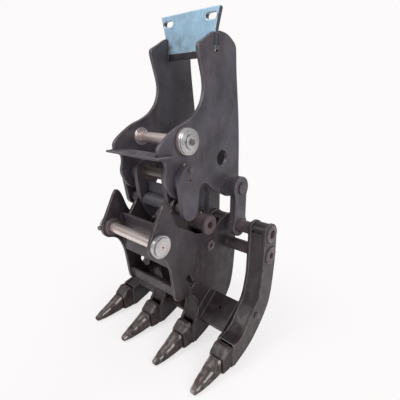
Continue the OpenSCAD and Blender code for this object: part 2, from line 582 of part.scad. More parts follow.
// the bolt that runs through the far flange and the link pin, with its nut
module link_pin_bolt() color([0.45, 0.40, 0.34]) translate([-flange_x, link_pin[0], link_pin[1]])
  rotate([90, 0, 0]) {
    union() {
      translate([0, 0, flange_r + face_gap/2]) cylinder(r = cross_af/sqrt(3), h = bolt_h, $fn = 6);
      translate([0, 0, -flange_r - bolt_h*2]) cylinder(r = bolt_r, h = flange_r*2 + bolt_h*2 + face_gap);
    }
    difference() {
      translate([0, 0, -flange_r - bolt_h - face_gap/2]) cylinder(r = cross_af/sqrt(3), h = bolt_h, $fn = 6);
      translate([0, 0, -flange_r*2]) cylinder(r = bolt_r + seat_fit, h = flange_r*2);
    }
  }
module across(shares, t, x) slab(band(plain(shares), t), -x, x);
module front_plate() color([0.25, 0.22, 0.21]) across(front_plate_shares, front_t, cheek_in - seat_fit);
module lower_front_plate() color([0.25, 0.22, 0.21]) across(lower_plate_shares, front_t, cheek_in - seat_fit);
module belly_plate() color([0.25, 0.22, 0.21]) across(belly_plate_shares, front_t, cheek_in - seat_fit);
module tie_tube(p, r_in, x) both() pipe(p, tie_r, r_in, x, far_out + ring_t);
module upper_tie_tubes() color([0.27, 0.25, 0.25]) tie_tube(tie_up, tie_r - tube_wall, inner_end);
module lower_tie_tubes() color([0.27, 0.25, 0.25]) tie_tube(tie_low, tie_r - 2*tube_wall, plate_in);
module tie_tube_rings() color([0.30, 0.28, 0.27]) both()
  for (p = [tie_up, tie_low]) pipe(p, ring_r, tie_r + seat_fit, far_out, far_out + ring_t);
module beam(x0, x1) slab(concat(plain(beam_shares),
  [for (i = [1, 0]) at(beam_shares[i]) - side_of(at(beam_shares[0]), at(beam_shares[1]))*beam_t]), x0, x1);
module centre_beam() color([0.24, 0.22, 0.22]) beam(-plate_in, plate_in);
// a drilled hole square to the face of each side beam
module side_beams() color([0.24, 0.22, 0.22]) both() difference() {
  beam(cheek_out, far_in);
  beam_hole();
}
module beam_hole() {
  a = at(beam_shares[0]);
  b = at(beam_shares[1]);
  m = along(a, b, beam_hole_share);
  n = side_of(a, b);
  translate([(cheek_out + far_in)/2, m[0] + n[0]*over, m[1] + n[1]*over])
    rotate([atan2(n[1], n[0]) + 90, 0, 0]) cylinder(r = bolt_r, h = beam_t/2);
}
module each_tine() for (x = [-outer_x, -inner_x, inner_x, outer_x]) translate([x, 0, 0]) children();
module nose(d) slab(grown(plain(nose_shares), d), -nose_w/2 - d, nose_w/2 + d);
module tooth_adapters() color([0.30, 0.25, 0.21]) each_tine() difference() {
  union() {
    slab(plain(adapter_shares), -adapter_w/2, adapter_w/2);
    slab(plain(shank_shares), cheek_t + face_gap/2 - tine_w/2, tine_w/2 - cheek_t - face_gap/2);
    nose(0);
  }
  rod(tooth_pin, tooth_pin_r + seat_fit, -tooth_w, tooth_w);
}
taper_y = [for (s = taper_shares) at([s, 0])[0]];
module teeth() color([0.42, 0.35, 0.28]) each_tine() difference() {
  intersection() {
    slab(plain(tooth_shares), -tooth_w/2, tooth_w/2);
    translate([0, 0, at([0, -1])[1]]) linear_extrude(tine_pitch*2) polygon([
      [-tooth_w/2, taper_y[0] + tine_pitch], [-tooth_w/2, taper_y[0]], [-tip_w/2, taper_y[1]],
      [tip_w/2, taper_y[1]], [tooth_w/2, taper_y[0]], [tooth_w/2, taper_y[0] + tine_pitch]]);
  }
  nose(nose_fit);
  rod(tooth_pin, tooth_pin_r + seat_fit, -tooth_w, tooth_w);
}
// half the width of a tooth where its pin runs
tooth_pin_half = tip_w/2
  + (tooth_w - tip_w)/2*(tooth_pin[0] - taper_y[1])/(taper_y[0] - taper_y[1]);
module tooth_pins() color([0.50, 0.48, 0.45]) each_tine()
  rod(tooth_pin, tooth_pin_r, -tooth_pin_half, tooth_pin_half);
module grease_nipples_jaw() color([0.72, 0.66, 0.50]) both() nipple_seat() union() {
  cylinder(r = nipple_r, h = nipple_l);
  cylinder(r = nipple_r/2, h = nipple_l*1.4);
}

side_plate_near();
side_plate_far();
stick_bracket();
head_tie();
rear_tie();
stop_plate();
stick_pin_shaft();
stick_pin_caps();
stick_pin_bolts();
stick_pin_bosses();
arm_pin_shaft();
arm_pin_bosses();
arm_pin_spacers();
arm_pin_keepers();
rear_pins();
rear_pin_bosses();
rear_pin_caps();
arm_near();
arm_far();
outer_arm_near();
outer_arm_far();
arm_tie_tube();
arm_web();
arm_bushes();
link_near();
link_far();
inner_link_near();
inner_link_far();
link_bush_near();
link_bush_far();
cheek_near();
cheek_far();
jaw_lugs();
inner_tine_plates();
outer_tine_plates();
back_straps();
face_straps();
chest_plates();
jaw_hubs();
second_hole_rings();
jaw_pin_shaft();
jaw_pin_bosses();
link_pin_shaft();
link_pin_collars();
link_pin_flanges();
link_pin_bolt();
front_plate();
lower_front_plate();
belly_plate();
upper_tie_tubes();
lower_tie_tubes();
tie_tube_rings();
tine_bolts();
centre_beam();
side_beams();
tooth_adapters();
teeth();
tooth_pins();
grease_nipples_frame();
grease_nipples_jaw();
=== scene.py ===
"""Excavator grapple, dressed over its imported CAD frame.

Plates get rounded, worn rims, turned parts get broken edges, teeth and adapters are lofted as castings,
weld beads run along the seams, and every surface has a procedural finish.
"""
import json

import bmesh
import bpy
import numpy as np
from bpy.props import FloatProperty, FloatVectorProperty, PointerProperty
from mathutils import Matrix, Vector
from mathutils.geometry import tessellate_polygon

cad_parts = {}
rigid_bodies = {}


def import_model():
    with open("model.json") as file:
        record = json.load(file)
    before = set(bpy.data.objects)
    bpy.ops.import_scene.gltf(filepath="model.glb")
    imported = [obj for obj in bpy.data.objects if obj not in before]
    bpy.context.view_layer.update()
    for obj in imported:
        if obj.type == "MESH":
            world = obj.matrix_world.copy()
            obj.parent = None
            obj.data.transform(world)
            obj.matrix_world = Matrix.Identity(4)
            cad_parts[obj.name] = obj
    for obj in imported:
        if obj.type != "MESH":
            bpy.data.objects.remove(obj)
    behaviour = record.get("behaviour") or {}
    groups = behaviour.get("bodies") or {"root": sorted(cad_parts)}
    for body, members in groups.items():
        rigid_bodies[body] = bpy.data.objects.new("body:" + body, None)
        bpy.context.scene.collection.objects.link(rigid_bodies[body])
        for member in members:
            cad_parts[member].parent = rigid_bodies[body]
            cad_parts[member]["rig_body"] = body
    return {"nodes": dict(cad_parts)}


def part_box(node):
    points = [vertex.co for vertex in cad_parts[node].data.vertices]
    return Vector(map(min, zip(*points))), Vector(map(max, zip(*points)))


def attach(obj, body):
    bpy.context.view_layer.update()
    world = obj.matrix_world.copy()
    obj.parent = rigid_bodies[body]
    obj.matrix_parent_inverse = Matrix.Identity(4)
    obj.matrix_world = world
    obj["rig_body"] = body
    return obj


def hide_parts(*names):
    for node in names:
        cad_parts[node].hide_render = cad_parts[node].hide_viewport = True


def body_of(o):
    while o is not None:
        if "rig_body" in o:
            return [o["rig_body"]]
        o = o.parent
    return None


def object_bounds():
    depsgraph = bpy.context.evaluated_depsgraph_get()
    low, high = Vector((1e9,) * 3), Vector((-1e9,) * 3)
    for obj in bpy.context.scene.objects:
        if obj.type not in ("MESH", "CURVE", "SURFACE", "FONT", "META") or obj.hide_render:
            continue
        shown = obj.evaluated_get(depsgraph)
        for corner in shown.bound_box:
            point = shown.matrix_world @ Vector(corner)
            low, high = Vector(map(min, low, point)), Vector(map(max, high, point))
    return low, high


bl_info = {
    "name": "Excavator grapple",
    "version": (1, 0, 0),
    "blender": (4, 5, 0),
    "location": "View3D > Sidebar > Grapple",
    "description": "Dresses the grapple's frame with rounded plates, castings, welds and worn finishes",
    "category": "Object",
}

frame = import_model()
CAD_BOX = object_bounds()


def ink(red, green, blue):
    """Linear colour of a screen colour given in steps of 255."""
    c = np.array([red, green, blue]) / 255
    return tuple(float(v) for v in np.where(c <= 0.04045, c / 12.92, ((c + 0.055) / 1.055) ** 2.4))


def tone(colour, gain=1.0):
    """The colour with its brightness scaled, with full alpha."""
    return tuple(min(1.0, v * gain) for v in colour[:3]) + (1.0,)


def size(name, description, default):
    return FloatProperty(name=name, description=description, default=default, unit="LENGTH", precision=5)


def colour(name, description, *steps):
    return FloatVectorProperty(name=name, description=description, default=ink(*steps), subtype="COLOR",
                               size=3, min=0, max=1)


class GrappleSizes(bpy.types.PropertyGroup):
    pitch: size("Tine pitch", "Distance between neighbouring tines", 0.25)
    plate_edge: size("Plate edge", "Radius of the worn edge of a thick plate", 0.0026)
    strap_edge: size("Strap edge", "Radius of the edge of a thin plate", 0.0015)
    turned_edge: size("Turned edge", "Broken edge of pins, bosses and bolts", 0.0013)
    outline_blur: size("Outline blur", "How far a plate's corners and chords are softened", 0.005)
    bead_radius: size("Weld bead", "Radius of a weld bead", 0.0042)
    ripple: size("Weld ripple", "Length of one ripple of a weld bead", 0.0058)
    tooth_ridge: size("Tooth ridge", "Height of the low crown on a tooth", 0.0016)
    tooth_flute: size("Tooth flute", "Depth of the hollow beside the crown", 0.0008)
    lens: FloatProperty(name="Lens", description="Focal length on a 36 mm wide sensor", default=28.8)
    eye: FloatVectorProperty(name="Eye", description="Place of the camera", default=(1.104, -0.998, 0.174),
                             subtype="XYZ", size=3)
    gaze: FloatVectorProperty(name="Gaze", description="Direction that the camera looks in",
                              default=(-0.6232, 0.7212, -0.3024), subtype="DIRECTION", size=3)


class GrappleColours(bpy.types.PropertyGroup):
    frame_paint: colour("Frame paint", "Dark paint of the side plates, arms and links", 76, 72, 81)
    jaw_paint: colour("Jaw paint", "Dark paint of the jaw and its tines", 55, 47, 53)
    # Hub paint is lighter than the jaw paint, partly rubbed paint and partly painted highlight on hubs,
    # rings and tubes
    hub_paint: colour("Hub paint", "Rubbed paint of the hubs, collars and tie tubes", 100, 87, 91)
    plating: colour("Plating", "Pale blue plating of the stick bracket", 140, 174, 198)
    dust: colour("Dust", "Dry earth left on the paint", 124, 108, 100)
    rust: colour("Rust", "Rust at chips and edges", 96, 56, 40)
    bare_steel: colour("Bare steel", "Steel where the paint has worn off", 150, 143, 142)
    machined: colour("Machined steel", "Bright turned steel", 206, 204, 206)
    # The pin colour is that of the pins' highlight, so it is partly painted highlight
    pin: colour("Pin steel", "Ground steel of the pins", 216, 200, 197)
    cast: colour("Tooth casting", "Worn casting of the teeth", 60, 48, 48)
    adapter: colour("Adapter casting", "Casting of the adapters", 54, 43, 47)
    brass: colour("Bronze", "Bronze of the bushes", 128, 116, 108)
    grease: colour("Nipple", "Plated grease nipple", 190, 182, 160)
    backdrop: colour("Backdrop", "Pale floor and background", 252, 250, 250)


def sizes():
    return bpy.context.scene.grapple_sizes


def colours():
    return bpy.context.scene.grapple_colours


# Place (y, z) of the stick pin, in tine pitches from the tooth tips
STICK_PIN_SHARE = (0.83, 4.21)
# Places of the four tines along X, in tine pitches
TINES = (-1.5, -0.5, 0.5, 1.5)


def spot(share_y, share_z):
    """Place (y, z) of an outline share: tine pitches from the tooth tips, moved so the stick pin is zero."""
    y, z = STICK_PIN_SHARE
    return (share_y - y) * sizes().pitch, (share_z - z) * sizes().pitch


# Reading the CAD frame

# Least cosine by which a face is square to the axis, and least share of the largest face for a plate
SQUARE_FACE, PLATE_SHARE = 0.999, 1 / 3
# Corners, and spread of the radius, by which a loop counts as a circle
CIRCLE_CORNERS, CIRCLE_SPREAD = 20, 0.01


def node_triangles(node):
    """Corner places (n, 3) and corner numbers (m, 3) of a CAD node, with equal places made one."""
    mesh = frame["nodes"][node].data
    mesh.calc_loop_triangles()
    co = np.empty(len(mesh.vertices) * 3)
    mesh.vertices.foreach_get("co", co)
    tri = np.empty(len(mesh.loop_triangles) * 3, np.int64)
    mesh.loop_triangles.foreach_get("vertices", tri)
    places, back = np.unique(np.round(co.reshape(-1, 3), 5), axis=0, return_inverse=True)
    tri = back.ravel()[tri].reshape(-1, 3)
    whole = (tri[:, 0] != tri[:, 1]) & (tri[:, 1] != tri[:, 2]) & (tri[:, 2] != tri[:, 0])
    return places, tri[whole]


def chained(edges):
    """Closed loops of corner numbers from directed edges whose opposite isn't in the set."""
    have = set(map(tuple, edges.tolist()))
    following = {i: j for i, j in have if (j, i) not in have}
    loops = []
    while following:
        first, corner = following.popitem()
        loop = [first]
        while corner != first:
            loop.append(corner)
            corner = following.pop(corner)
        loops.append(loop)
    return loops


def area(loop):
    """Signed area of a closed loop by the shoelace sum."""
    u, v = loop[:, 0], loop[:, 1]
    return float((u * np.roll(v, -1) - np.roll(u, -1) * v).sum() / 2)


def flat_plates(node, axis):
    """Plates of a CAD node, each as (low level, high level, loops): flat faces square to the axis are
    grouped by level, paired low to high, and their open edges chained. The loops of the face further
    from the middle plane are taken, and the material is left of a loop."""
    co, tri = node_triangles(node)
    a, b, c = (co[tri[:, k]] for k in range(3))
    normal = unit(np.cross(b - a, c - a))
    level = np.round(a[:, axis], 4)
    keep = [(axis + 1) % 3, (axis + 2) % 3]
    sides = {}
    for sign in (-1, 1):
        facing = normal[:, axis] * sign > SQUARE_FACE
        faces = []
        for x in np.unique(level[facing]):
            t = tri[facing & (level == x)]
            loops = chained(np.concatenate([t[:, [0, 1]], t[:, [1, 2]], t[:, [2, 0]]]))
            loops = [co[loop][:, keep][::sign] for loop in loops]
            faces.append((float(x), loops, sum(area(loop) for loop in loops)))
        largest = max(abs(f[2]) for f in faces)
        sides[sign] = [f for f in faces if abs(f[2]) > largest * PLATE_SHARE]
    return [(low[0], high[0], high[1] if abs(high[0]) >= abs(low[0]) else low[1])
            for low, high in zip(sides[-1], sides[1])]


def unit(vectors):
    return vectors / np.maximum(np.linalg.norm(vectors, axis=1, keepdims=True), 1e-12)


def sampled(at, run, line):
    """The line's places at the given runs along it."""
    return np.stack([np.interp(at, run, line[:, k]) for k in range(line.shape[1])], 1)


def smoothed(line, reach):
    """The line under a running mean over reach places to either side, with its ends kept."""
    padded = np.pad(line, ((reach, reach), (0, 0)), mode="reflect", reflect_type="odd")
    share = np.ones(2 * reach + 1) / (2 * reach + 1)
    return np.stack([np.convolve(padded[:, k], share, "valid") for k in range(line.shape[1])], 1)


def evened(loop, step, blur):
    """The loop at even steps along its run, convolved with a bell curve of width blur by Fourier sums,
    so chords and corners round alike. A loop that is already round is kept."""
    gap = np.linalg.norm(np.roll(loop, -1, axis=0) - loop, axis=1)
    reach = np.linalg.norm(loop - (loop.max(0) + loop.min(0)) / 2, axis=1)
    if len(loop) > CIRCLE_CORNERS and reach.std() < CIRCLE_SPREAD * reach.mean():
        return loop
    run = gap.sum()
    count = int(max(24, round(run / step)))
    along = np.concatenate([[0], gap.cumsum()])
    closed = np.vstack([loop, loop[:1]])
    even = sampled(np.arange(count) * run / count, along, closed)
    bell = np.exp(-2 * (np.pi * np.fft.fftfreq(count, run / count) * blur) ** 2)
    return np.fft.ifft(np.fft.fft(even, axis=0) * bell[:, None], axis=0).real


# Making pieces

# Width of the flat band inside a plate's worn rim, and beside the broken edge of another piece
PLATE_BAND, PIECE_BAND = 0.003, 0.002
# Angles in radians: below the first, faces are joined; above the others, edges are broken or shaded sharp
FLAT_ANGLE, BROKEN_ANGLE, SHARP_ANGLE = 0.02, 0.6, 0.7
# Least area of a framed face, wear on a broken edge, and most levels of a node that get rings beside them
FRAMED_AREA, BROKEN_WEAR, RING_LEVELS = 3e-4, 0.62, 24
# Rings of a casting's body and tip, shares of the width at its first and last ring
BODY_RINGS, TIP_RINGS, ROOT_WIDTH, TIP_WIDTH = 44, 6, 0.92, 0.02
# Places along a casting's line, and places to either side in its running mean
LINE_PLACES, LINE_REACH = 241, 9
# Sides of a weld bead, the shift of its waver from one bead to the next, and places on a ring bead's path
BEAD_SIDES, BEAD_SHIFT, RING_PLACES = 8, 1.7, 97


def linked(name, data):
    """A new object with the data, put in the scene."""
    made = bpy.data.objects.new(name, data)
    bpy.context.scene.collection.objects.link(made)
    return made


def finished(name, parts, finish, body, nodes=(), slot=None):
    """One piece of many (places, faces, wear), with its finish, body and replaced nodes."""
    start, faces = 0, []
    for places, own_faces, _ in parts:
        faces += [[i + start for i in face] for face in own_faces]
        start += len(places)
    mesh = bpy.data.meshes.new(name)
    mesh.from_pydata(np.concatenate([part[0] for part in parts]).tolist(), [], faces)
    mesh.update()
    wear = np.concatenate([part[2] for part in parts]).astype(np.float32)
    mesh.attributes.new("wear", "FLOAT", "POINT").data.foreach_set("value", wear)
    mesh.shade_smooth()
    return settled(name, mesh, finish, body, nodes, slot)


def settled(name, mesh, finish, body, nodes, slot):
    """Puts a mesh in the scene with its finish and its body, and hides the nodes it stands for. Its
    material slot, the finish's own where none is given, is looked up but not applied."""
    slot = slot or SLOTS[finish]
    piece = linked(name, mesh)
    mesh.materials.append(FINISH[finish])
    if nodes:
        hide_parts(*nodes)
    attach(piece, body)
    return piece


def rounded_plate(low, high, loops, axis, edge):
    """A plate between two levels: each loop is carried through a profile of an inset ring, a quarter
    round of the edge radius, a wall with two rings near its rims, and the same again below."""
    turn = np.linspace(0, np.pi / 2, 4)
    rim = edge + PLATE_BAND
    inset = np.concatenate([[rim], edge * (1 - np.sin(turn)), [0]])
    drop = np.concatenate([[0], edge * (1 - np.cos(turn)), [rim]])
    worn = np.array([0.0, 0.35, 1.0, 1.0, 0.45, 0.0])
    inset = np.concatenate([inset, inset[::-1]])
    level = np.concatenate([high - drop, low + drop[::-1]])
    worn = np.concatenate([worn, worn[::-1]])
    places, wear, faces, caps, start = [], [], [], [], 0
    for loop in loops:
        n = len(loop)
        tangent = unit(np.roll(loop, -1, axis=0) - np.roll(loop, 1, axis=0))
        inward = np.stack([-tangent[:, 1], tangent[:, 0]], 1)
        rings = loop[None] + inward[None] * inset[:, None, None]
        block = np.empty((len(inset), n, 3))
        block[:, :, (axis + 1) % 3] = rings[:, :, 0]
        block[:, :, (axis + 2) % 3] = rings[:, :, 1]
        block[:, :, axis] = level[:, None]
        number = start + np.arange(len(inset) * n).reshape(len(inset), n)
        beside = np.roll(number, -1, axis=1)
        faces += np.stack([number[:-1], number[1:], beside[1:], beside[:-1]], -1).reshape(-1, 4).tolist()
        places.append(block.reshape(-1, 3))
        wear.append(np.repeat(worn, n))
        caps.append((rings[0], number[0], number[-1]))
        start += number.size
    flat = np.concatenate([c[0] for c in caps])
    top, foot = (np.concatenate([c[k] for c in caps]) for k in (1, 2))
    tris = np.array(tessellate_polygon([[Vector((u, v, 0)) for u, v in c[0].tolist()] for c in caps]))
    a, b, c = (flat[tris[:, k]] for k in range(3))
    turned = (b - a)[:, 0] * (c - a)[:, 1] - (b - a)[:, 1] * (c - a)[:, 0]
    tris = np.where(turned[:, None] < 0, tris[:, ::-1], tris)[np.abs(turned) > 1e-14]
    faces += top[tris].tolist() + foot[tris[:, ::-1]].tolist()
    return np.concatenate(places), faces, np.concatenate(wear)


def plate_piece(node, axis, edge, finish, blur=None, step=0.006):
    """The CAD node's plates again, with smooth outlines and worn round rims."""
    blur = sizes().outline_blur if blur is None else blur
    parts = [rounded_plate(low, high, [evened(loop, step, blur) for loop in loops], axis, edge)
             for low, high, loops in flat_plates(node, axis)]
    return finished(node + "_cut", parts, finish, body_of(frame["nodes"][node])[0], [node])


def softened_piece(node, edge, finish, axis=0, framed=False, slot=None):
    """A merged copy of a CAD node with flat faces joined, rings cut near its levels and every sharp
    edge broken to the edge width; the new faces carry wear. A framed piece gets a rim inside every
    flat face, which keeps the wear near its edges."""
    places, tri = node_triangles(node)
    mesh = bpy.data.meshes.new(node + "_turned")
    mesh.from_pydata(places.tolist(), [], tri.tolist())
    mesh.update()
    shape = bmesh.new()
    shape.from_mesh(mesh)
    layer = shape.verts.layers.float.new("wear")
    bmesh.ops.dissolve_limit(shape, angle_limit=FLAT_ANGLE, verts=shape.verts, edges=shape.edges)
    if framed:
        sides = {}
        for face in shape.faces:
            if face.calc_area() > FRAMED_AREA:
                sides.setdefault(tuple(round(v, 2) for v in face.normal), []).append(face)
        for side in sides.values():
            bmesh.ops.inset_region(shape, faces=side, thickness=edge + PIECE_BAND, use_even_offset=True,
                                   use_boundary=True)
    levels = np.unique(np.round(places[:, axis], 4))
    square = Vector([float(k == axis) for k in range(3)])
    for level in levels[:RING_LEVELS]:
        for side in (-1, 1):
            bmesh.ops.bisect_plane(shape, geom=shape.verts[:] + shape.edges[:] + shape.faces[:],
                                   plane_co=square * float(level + side * (edge + PIECE_BAND)),
                                   plane_no=square)
    sharp = [e for e in shape.edges if len(e.link_faces) == 2 and e.calc_face_angle(0) > BROKEN_ANGLE]
    made = bmesh.ops.bevel(shape, geom=sharp, offset=edge, offset_type="OFFSET", segments=2, profile=0.5,
                           affect="EDGES", clamp_overlap=True)
    for vert in made["verts"]:
        vert[layer] = BROKEN_WEAR
    bmesh.ops.recalc_face_normals(shape, faces=shape.faces)
    shape.to_mesh(mesh)
    shape.free()
    mesh.shade_smooth()
    mesh.set_sharp_from_angle(angle=SHARP_ANGLE)
    return settled(node + "_turned", mesh, finish, body_of(frame["nodes"][node])[0], [node], slot)


def lofted(top, foot, half, squareness, ridge=0.0, flute=0.0, across=56, blunt=0.035):
    """A casting from root to tip. At u, a cross-section spans from the foot line to the top line:
    x = half(u) c, height = s, where (c, s) is a superellipse of the given squareness; its upper side
    rises by ridge in a crest and sinks by flute on either side of it. The last rings shrink like a
    quarter round to close the tip. Corners, the crest and the tip carry wear, more on the upper side,
    which the finish shows partly as painted highlight."""
    tip = 1 - blunt * np.cos(np.linspace(0, np.pi / 2, TIP_RINGS + 1))[1:]
    u = np.concatenate([[0.0], np.linspace(0.0, 1 - blunt, BODY_RINGS), tip])
    shrink = np.ones_like(u)
    shrink[0] = ROOT_WIDTH
    shrink[-TIP_RINGS:] = np.sqrt(np.maximum(0, 1 - ((tip - 1 + blunt) / blunt) ** 2))
    shrink[-1] = TIP_WIDTH

    def line(table):
        table = np.asarray(table, float)
        even = np.linspace(0, 1, LINE_PLACES)
        return sampled(u, even, smoothed(sampled(even, table[:, 0], table[:, 1:]), LINE_REACH))

    upper, lower = line(top), line(foot)
    half_w = np.interp(u, [h[0] for h in half], [h[1] for h in half])
    v = np.linspace(0, 2 * np.pi, across, endpoint=False)
    c = np.sign(np.cos(v)) * np.abs(np.cos(v)) ** (2 / squareness)
    s = np.sign(np.sin(v)) * np.abs(np.sin(v)) ** (2 / squareness)
    fade = np.interp(u, [0, 0.06, 0.2, 0.85, 1.0], [0.0, 0.3, 1.0, 0.8, 0.0])[:, None]
    crest = np.exp(-(c / 0.20) ** 2)[None] * fade
    hollow = np.exp(-((np.abs(c) - 0.52) / 0.2) ** 2)[None] * fade
    upside = np.clip(s, 0, 1)[None] ** 2
    centre, reach = (upper + lower) / 2, (upper - lower) / 2
    length = np.linalg.norm(reach, axis=1)[:, None]
    lift = s[None] * shrink[:, None] + upside * (ridge * crest - flute * hollow) / length
    grid = np.empty((len(u), across, 3))
    grid[:, :, 0] = (half_w * shrink)[:, None] * c[None]
    grid[:, :, 1:] = centre[:, None] + reach[:, None] * lift[:, :, None]
    # Upper corners wear more than lower ones, as does the crest on the upper side: partly real rubbing,
    # partly painted highlight where light falls on top
    corner = np.clip((np.abs(c * s) - 0.6) / 0.25, 0, 1) * np.where(s > 0, 1.0, 0.45)
    near_tip = np.clip((u[:, None] - 0.86) / 0.14, 0, 1)
    wear = np.clip(corner[None] + 0.3 * crest * upside + near_tip * 0.7, 0, 1)
    return grid, np.broadcast_to(wear, grid.shape[:2])


def closed_grid(grid, wear):
    """Quads around a tube of rings, closed at both ends by a fan to the ring's middle."""
    rings, around = grid.shape[:2]
    number = np.arange(rings * around).reshape(rings, around)
    beside = np.roll(number, -1, axis=1)
    faces = np.stack([number[:-1], beside[:-1], beside[1:], number[1:]], -1).reshape(-1, 4).tolist()
    root, tip = rings * around, rings * around + 1
    faces += np.stack([beside[0], number[0], np.full(around, root)], -1).tolist()
    faces += np.stack([number[-1], beside[-1], np.full(around, tip)], -1).tolist()
    places = np.concatenate([grid.reshape(-1, 3), grid[0].mean(0)[None], grid[-1].mean(0)[None]])
    return places, outward(places, faces), np.concatenate([wear.reshape(-1), [0.0, 1.0]])


def outward(places, faces):
    """The faces, turned if the closed shape's signed volume is negative."""
    tris = np.array([[f[0], f[k], f[k + 1]] for f in faces for k in range(1, len(f) - 1)])
    a, b, c = (places[tris[:, k]] for k in range(3))
    volume = np.einsum("ij,ij->i", a, np.cross(b, c)).sum()
    return faces if volume > 0 else [f[::-1] for f in faces]


def bead(path, radius, ripple, seed):
    """A weld bead: a tube around the path, whose radius swells as
    r (1 + 0.16 |sin(pi run / ripple)| + slow waver) like laid scales, with its ends drawn in."""
    path = np.asarray(path, float)
    step = np.linalg.norm(np.diff(path, axis=0), axis=1)
    run = np.concatenate([[0], step.cumsum()])
    count = max(8, int(run[-1] / (ripple / 4)))
    at = np.linspace(0, run[-1], count)
    line = sampled(at, run, path)
    tangent = unit(np.gradient(line, axis=0))
    span = np.ptp(path, axis=0)
    guide = np.array([1.0, 0, 0]) if span[0] < span[1:].max() else np.array([0, 0.3, 1.0])
    side = unit(np.cross(tangent, guide))
    up = np.cross(tangent, side)
    waver = 0.10 * np.sin(at * 61 + seed) + 0.06 * np.sin(at * 173 + 2 * seed)
    swell = 1 + 0.16 * np.abs(np.sin(np.pi * at / ripple)) + waver
    ends = np.clip(np.minimum(at, at[-1] - at) / radius, 0.15, 1) ** 0.5
    turn = np.linspace(0, 2 * np.pi, BEAD_SIDES, endpoint=False)
    ring = side[:, None] * np.cos(turn)[None, :, None] + up[:, None] * np.sin(turn)[None, :, None]
    grid = line[:, None] + ring * (radius * swell * ends)[:, None, None]
    wear = np.repeat((swell[:, None] - 1) * 3, BEAD_SIDES, axis=1)
    return closed_grid(grid, wear)


def bead_piece(name, paths, body, radius=None):
    """Many weld beads in one piece, which rides a body; the slot it names after its body's paint is not
    applied.
    """
    radius = radius or sizes().bead_radius
    parts = [bead(path, radius, sizes().ripple, k * BEAD_SHIFT) for k, path in enumerate(paths)]
    return finished(name, parts, "weld", body, slot=f"dark_{body}_paint")


def ring_path(centre, radius, x):
    """A circle about a centre (y, z) at the level x."""
    turn = np.radians(np.linspace(0, 360, RING_PLACES))
    y, z = centre[0] + radius * np.cos(turn), centre[1] + radius * np.sin(turn)
    return np.stack([np.full_like(y, x), y, z], 1)


def level_path(shares, x):
    """The places of outline shares at the level x."""
    return [(x, *spot(*share)) for share in shares]


def middle(node):
    """Middle (y, z) of a CAD node's box."""
    low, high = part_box(node)
    return (low.y + high.y) / 2, (low.z + high.z) / 2


# Finishes

FINISH = {}

# The material slot of each finish, looked up for a piece but not applied; weld beads name the paint of their
# body
SLOTS = {finish: slot for slot, finishes in (
    ("dark_frame_paint", ("frame", "shade", "boss")), ("dark_jaw_paint", ("jaw", "hub", "front")),
    ("bright_steel", ("cap", "flange", "bolt")), ("pin_steel", ("pin", "dark_pin", "link_pin")),
    ("bush_brass", ("bronze", "nipple")), ("plated_bracket", ("plating",)),
    ("worn_cast_steel", ("tooth",)), ("cast_adapter", ("adapter",))) for finish in finishes}


class Finish:
    """A material's nodes, with short ways to add and join them."""

    def __init__(self, name):
        self.material = bpy.data.materials.new(name)
        self.material.use_nodes = True
        self.tree = self.material.node_tree
        self.shader = self.tree.nodes["Principled BSDF"]
        self.place = self.add("ShaderNodeTexCoord").outputs["Object"]

    def add(self, kind, inputs=None, **settings):
        node = self.tree.nodes.new(kind)
        for key, value in settings.items():
            setattr(node, key, value)
        for key, value in (inputs or {}).items():
            if isinstance(value, bpy.types.NodeSocket):
                self.tree.links.new(value, node.inputs[key])
            else:
                node.inputs[key].default_value = value
        return node

    def noise(self, scale, detail=4.0, rough=0.55, stretch=(1, 1, 1), move=(0, 0, 0)):
        moved = self.add("ShaderNodeMapping", {"Vector": self.place, "Scale": stretch, "Location": move})
        return self.add("ShaderNodeTexNoise", {"Vector": moved.outputs[0], "Scale": scale, "Detail": detail,
                                               "Roughness": rough}).outputs["Fac"]

    def between(self, value, low, high, out_low=0.0, out_high=1.0):
        """The value, from low to high, laid smoothly from out_low to out_high."""
        return self.add("ShaderNodeMapRange", {0: value, 1: low, 2: high, 3: out_low, 4: out_high},
                        interpolation_type="SMOOTHSTEP").outputs[0]

    def times(self, a, b):
        return self.add("ShaderNodeMath", {0: a, 1: b}, operation="MULTIPLY").outputs[0]

    def plus(self, a, b):
        """The sum, held between 0 and 1."""
        return self.add("ShaderNodeMath", {0: a, 1: b}, operation="ADD", use_clamp=True).outputs[0]

    def blend(self, mask, a, b):
        return self.add("ShaderNodeMix", {0: mask, 6: a, 7: b}, data_type="RGBA").outputs[2]

    def wear(self):
        return self.add("ShaderNodeAttribute", attribute_name="wear").outputs["Fac"]

    def give(self, **inputs):
        for key, value in inputs.items():
            socket = self.shader.inputs[key.replace("_", " ")]
            if isinstance(value, bpy.types.NodeSocket):
                self.tree.links.new(value, socket)
            else:
                socket.default_value = value

    def bump(self, *layers):
        """Stacks bump nodes from (height, strength, distance) layers."""
        normal = None
        for height, strength, distance in layers:
            inputs = {"Height": height, "Strength": strength, "Distance": distance}
            if normal is not None:
                inputs["Normal"] = normal
            normal = self.add("ShaderNodeBump", inputs).outputs[0]
        self.give(Normal=normal)


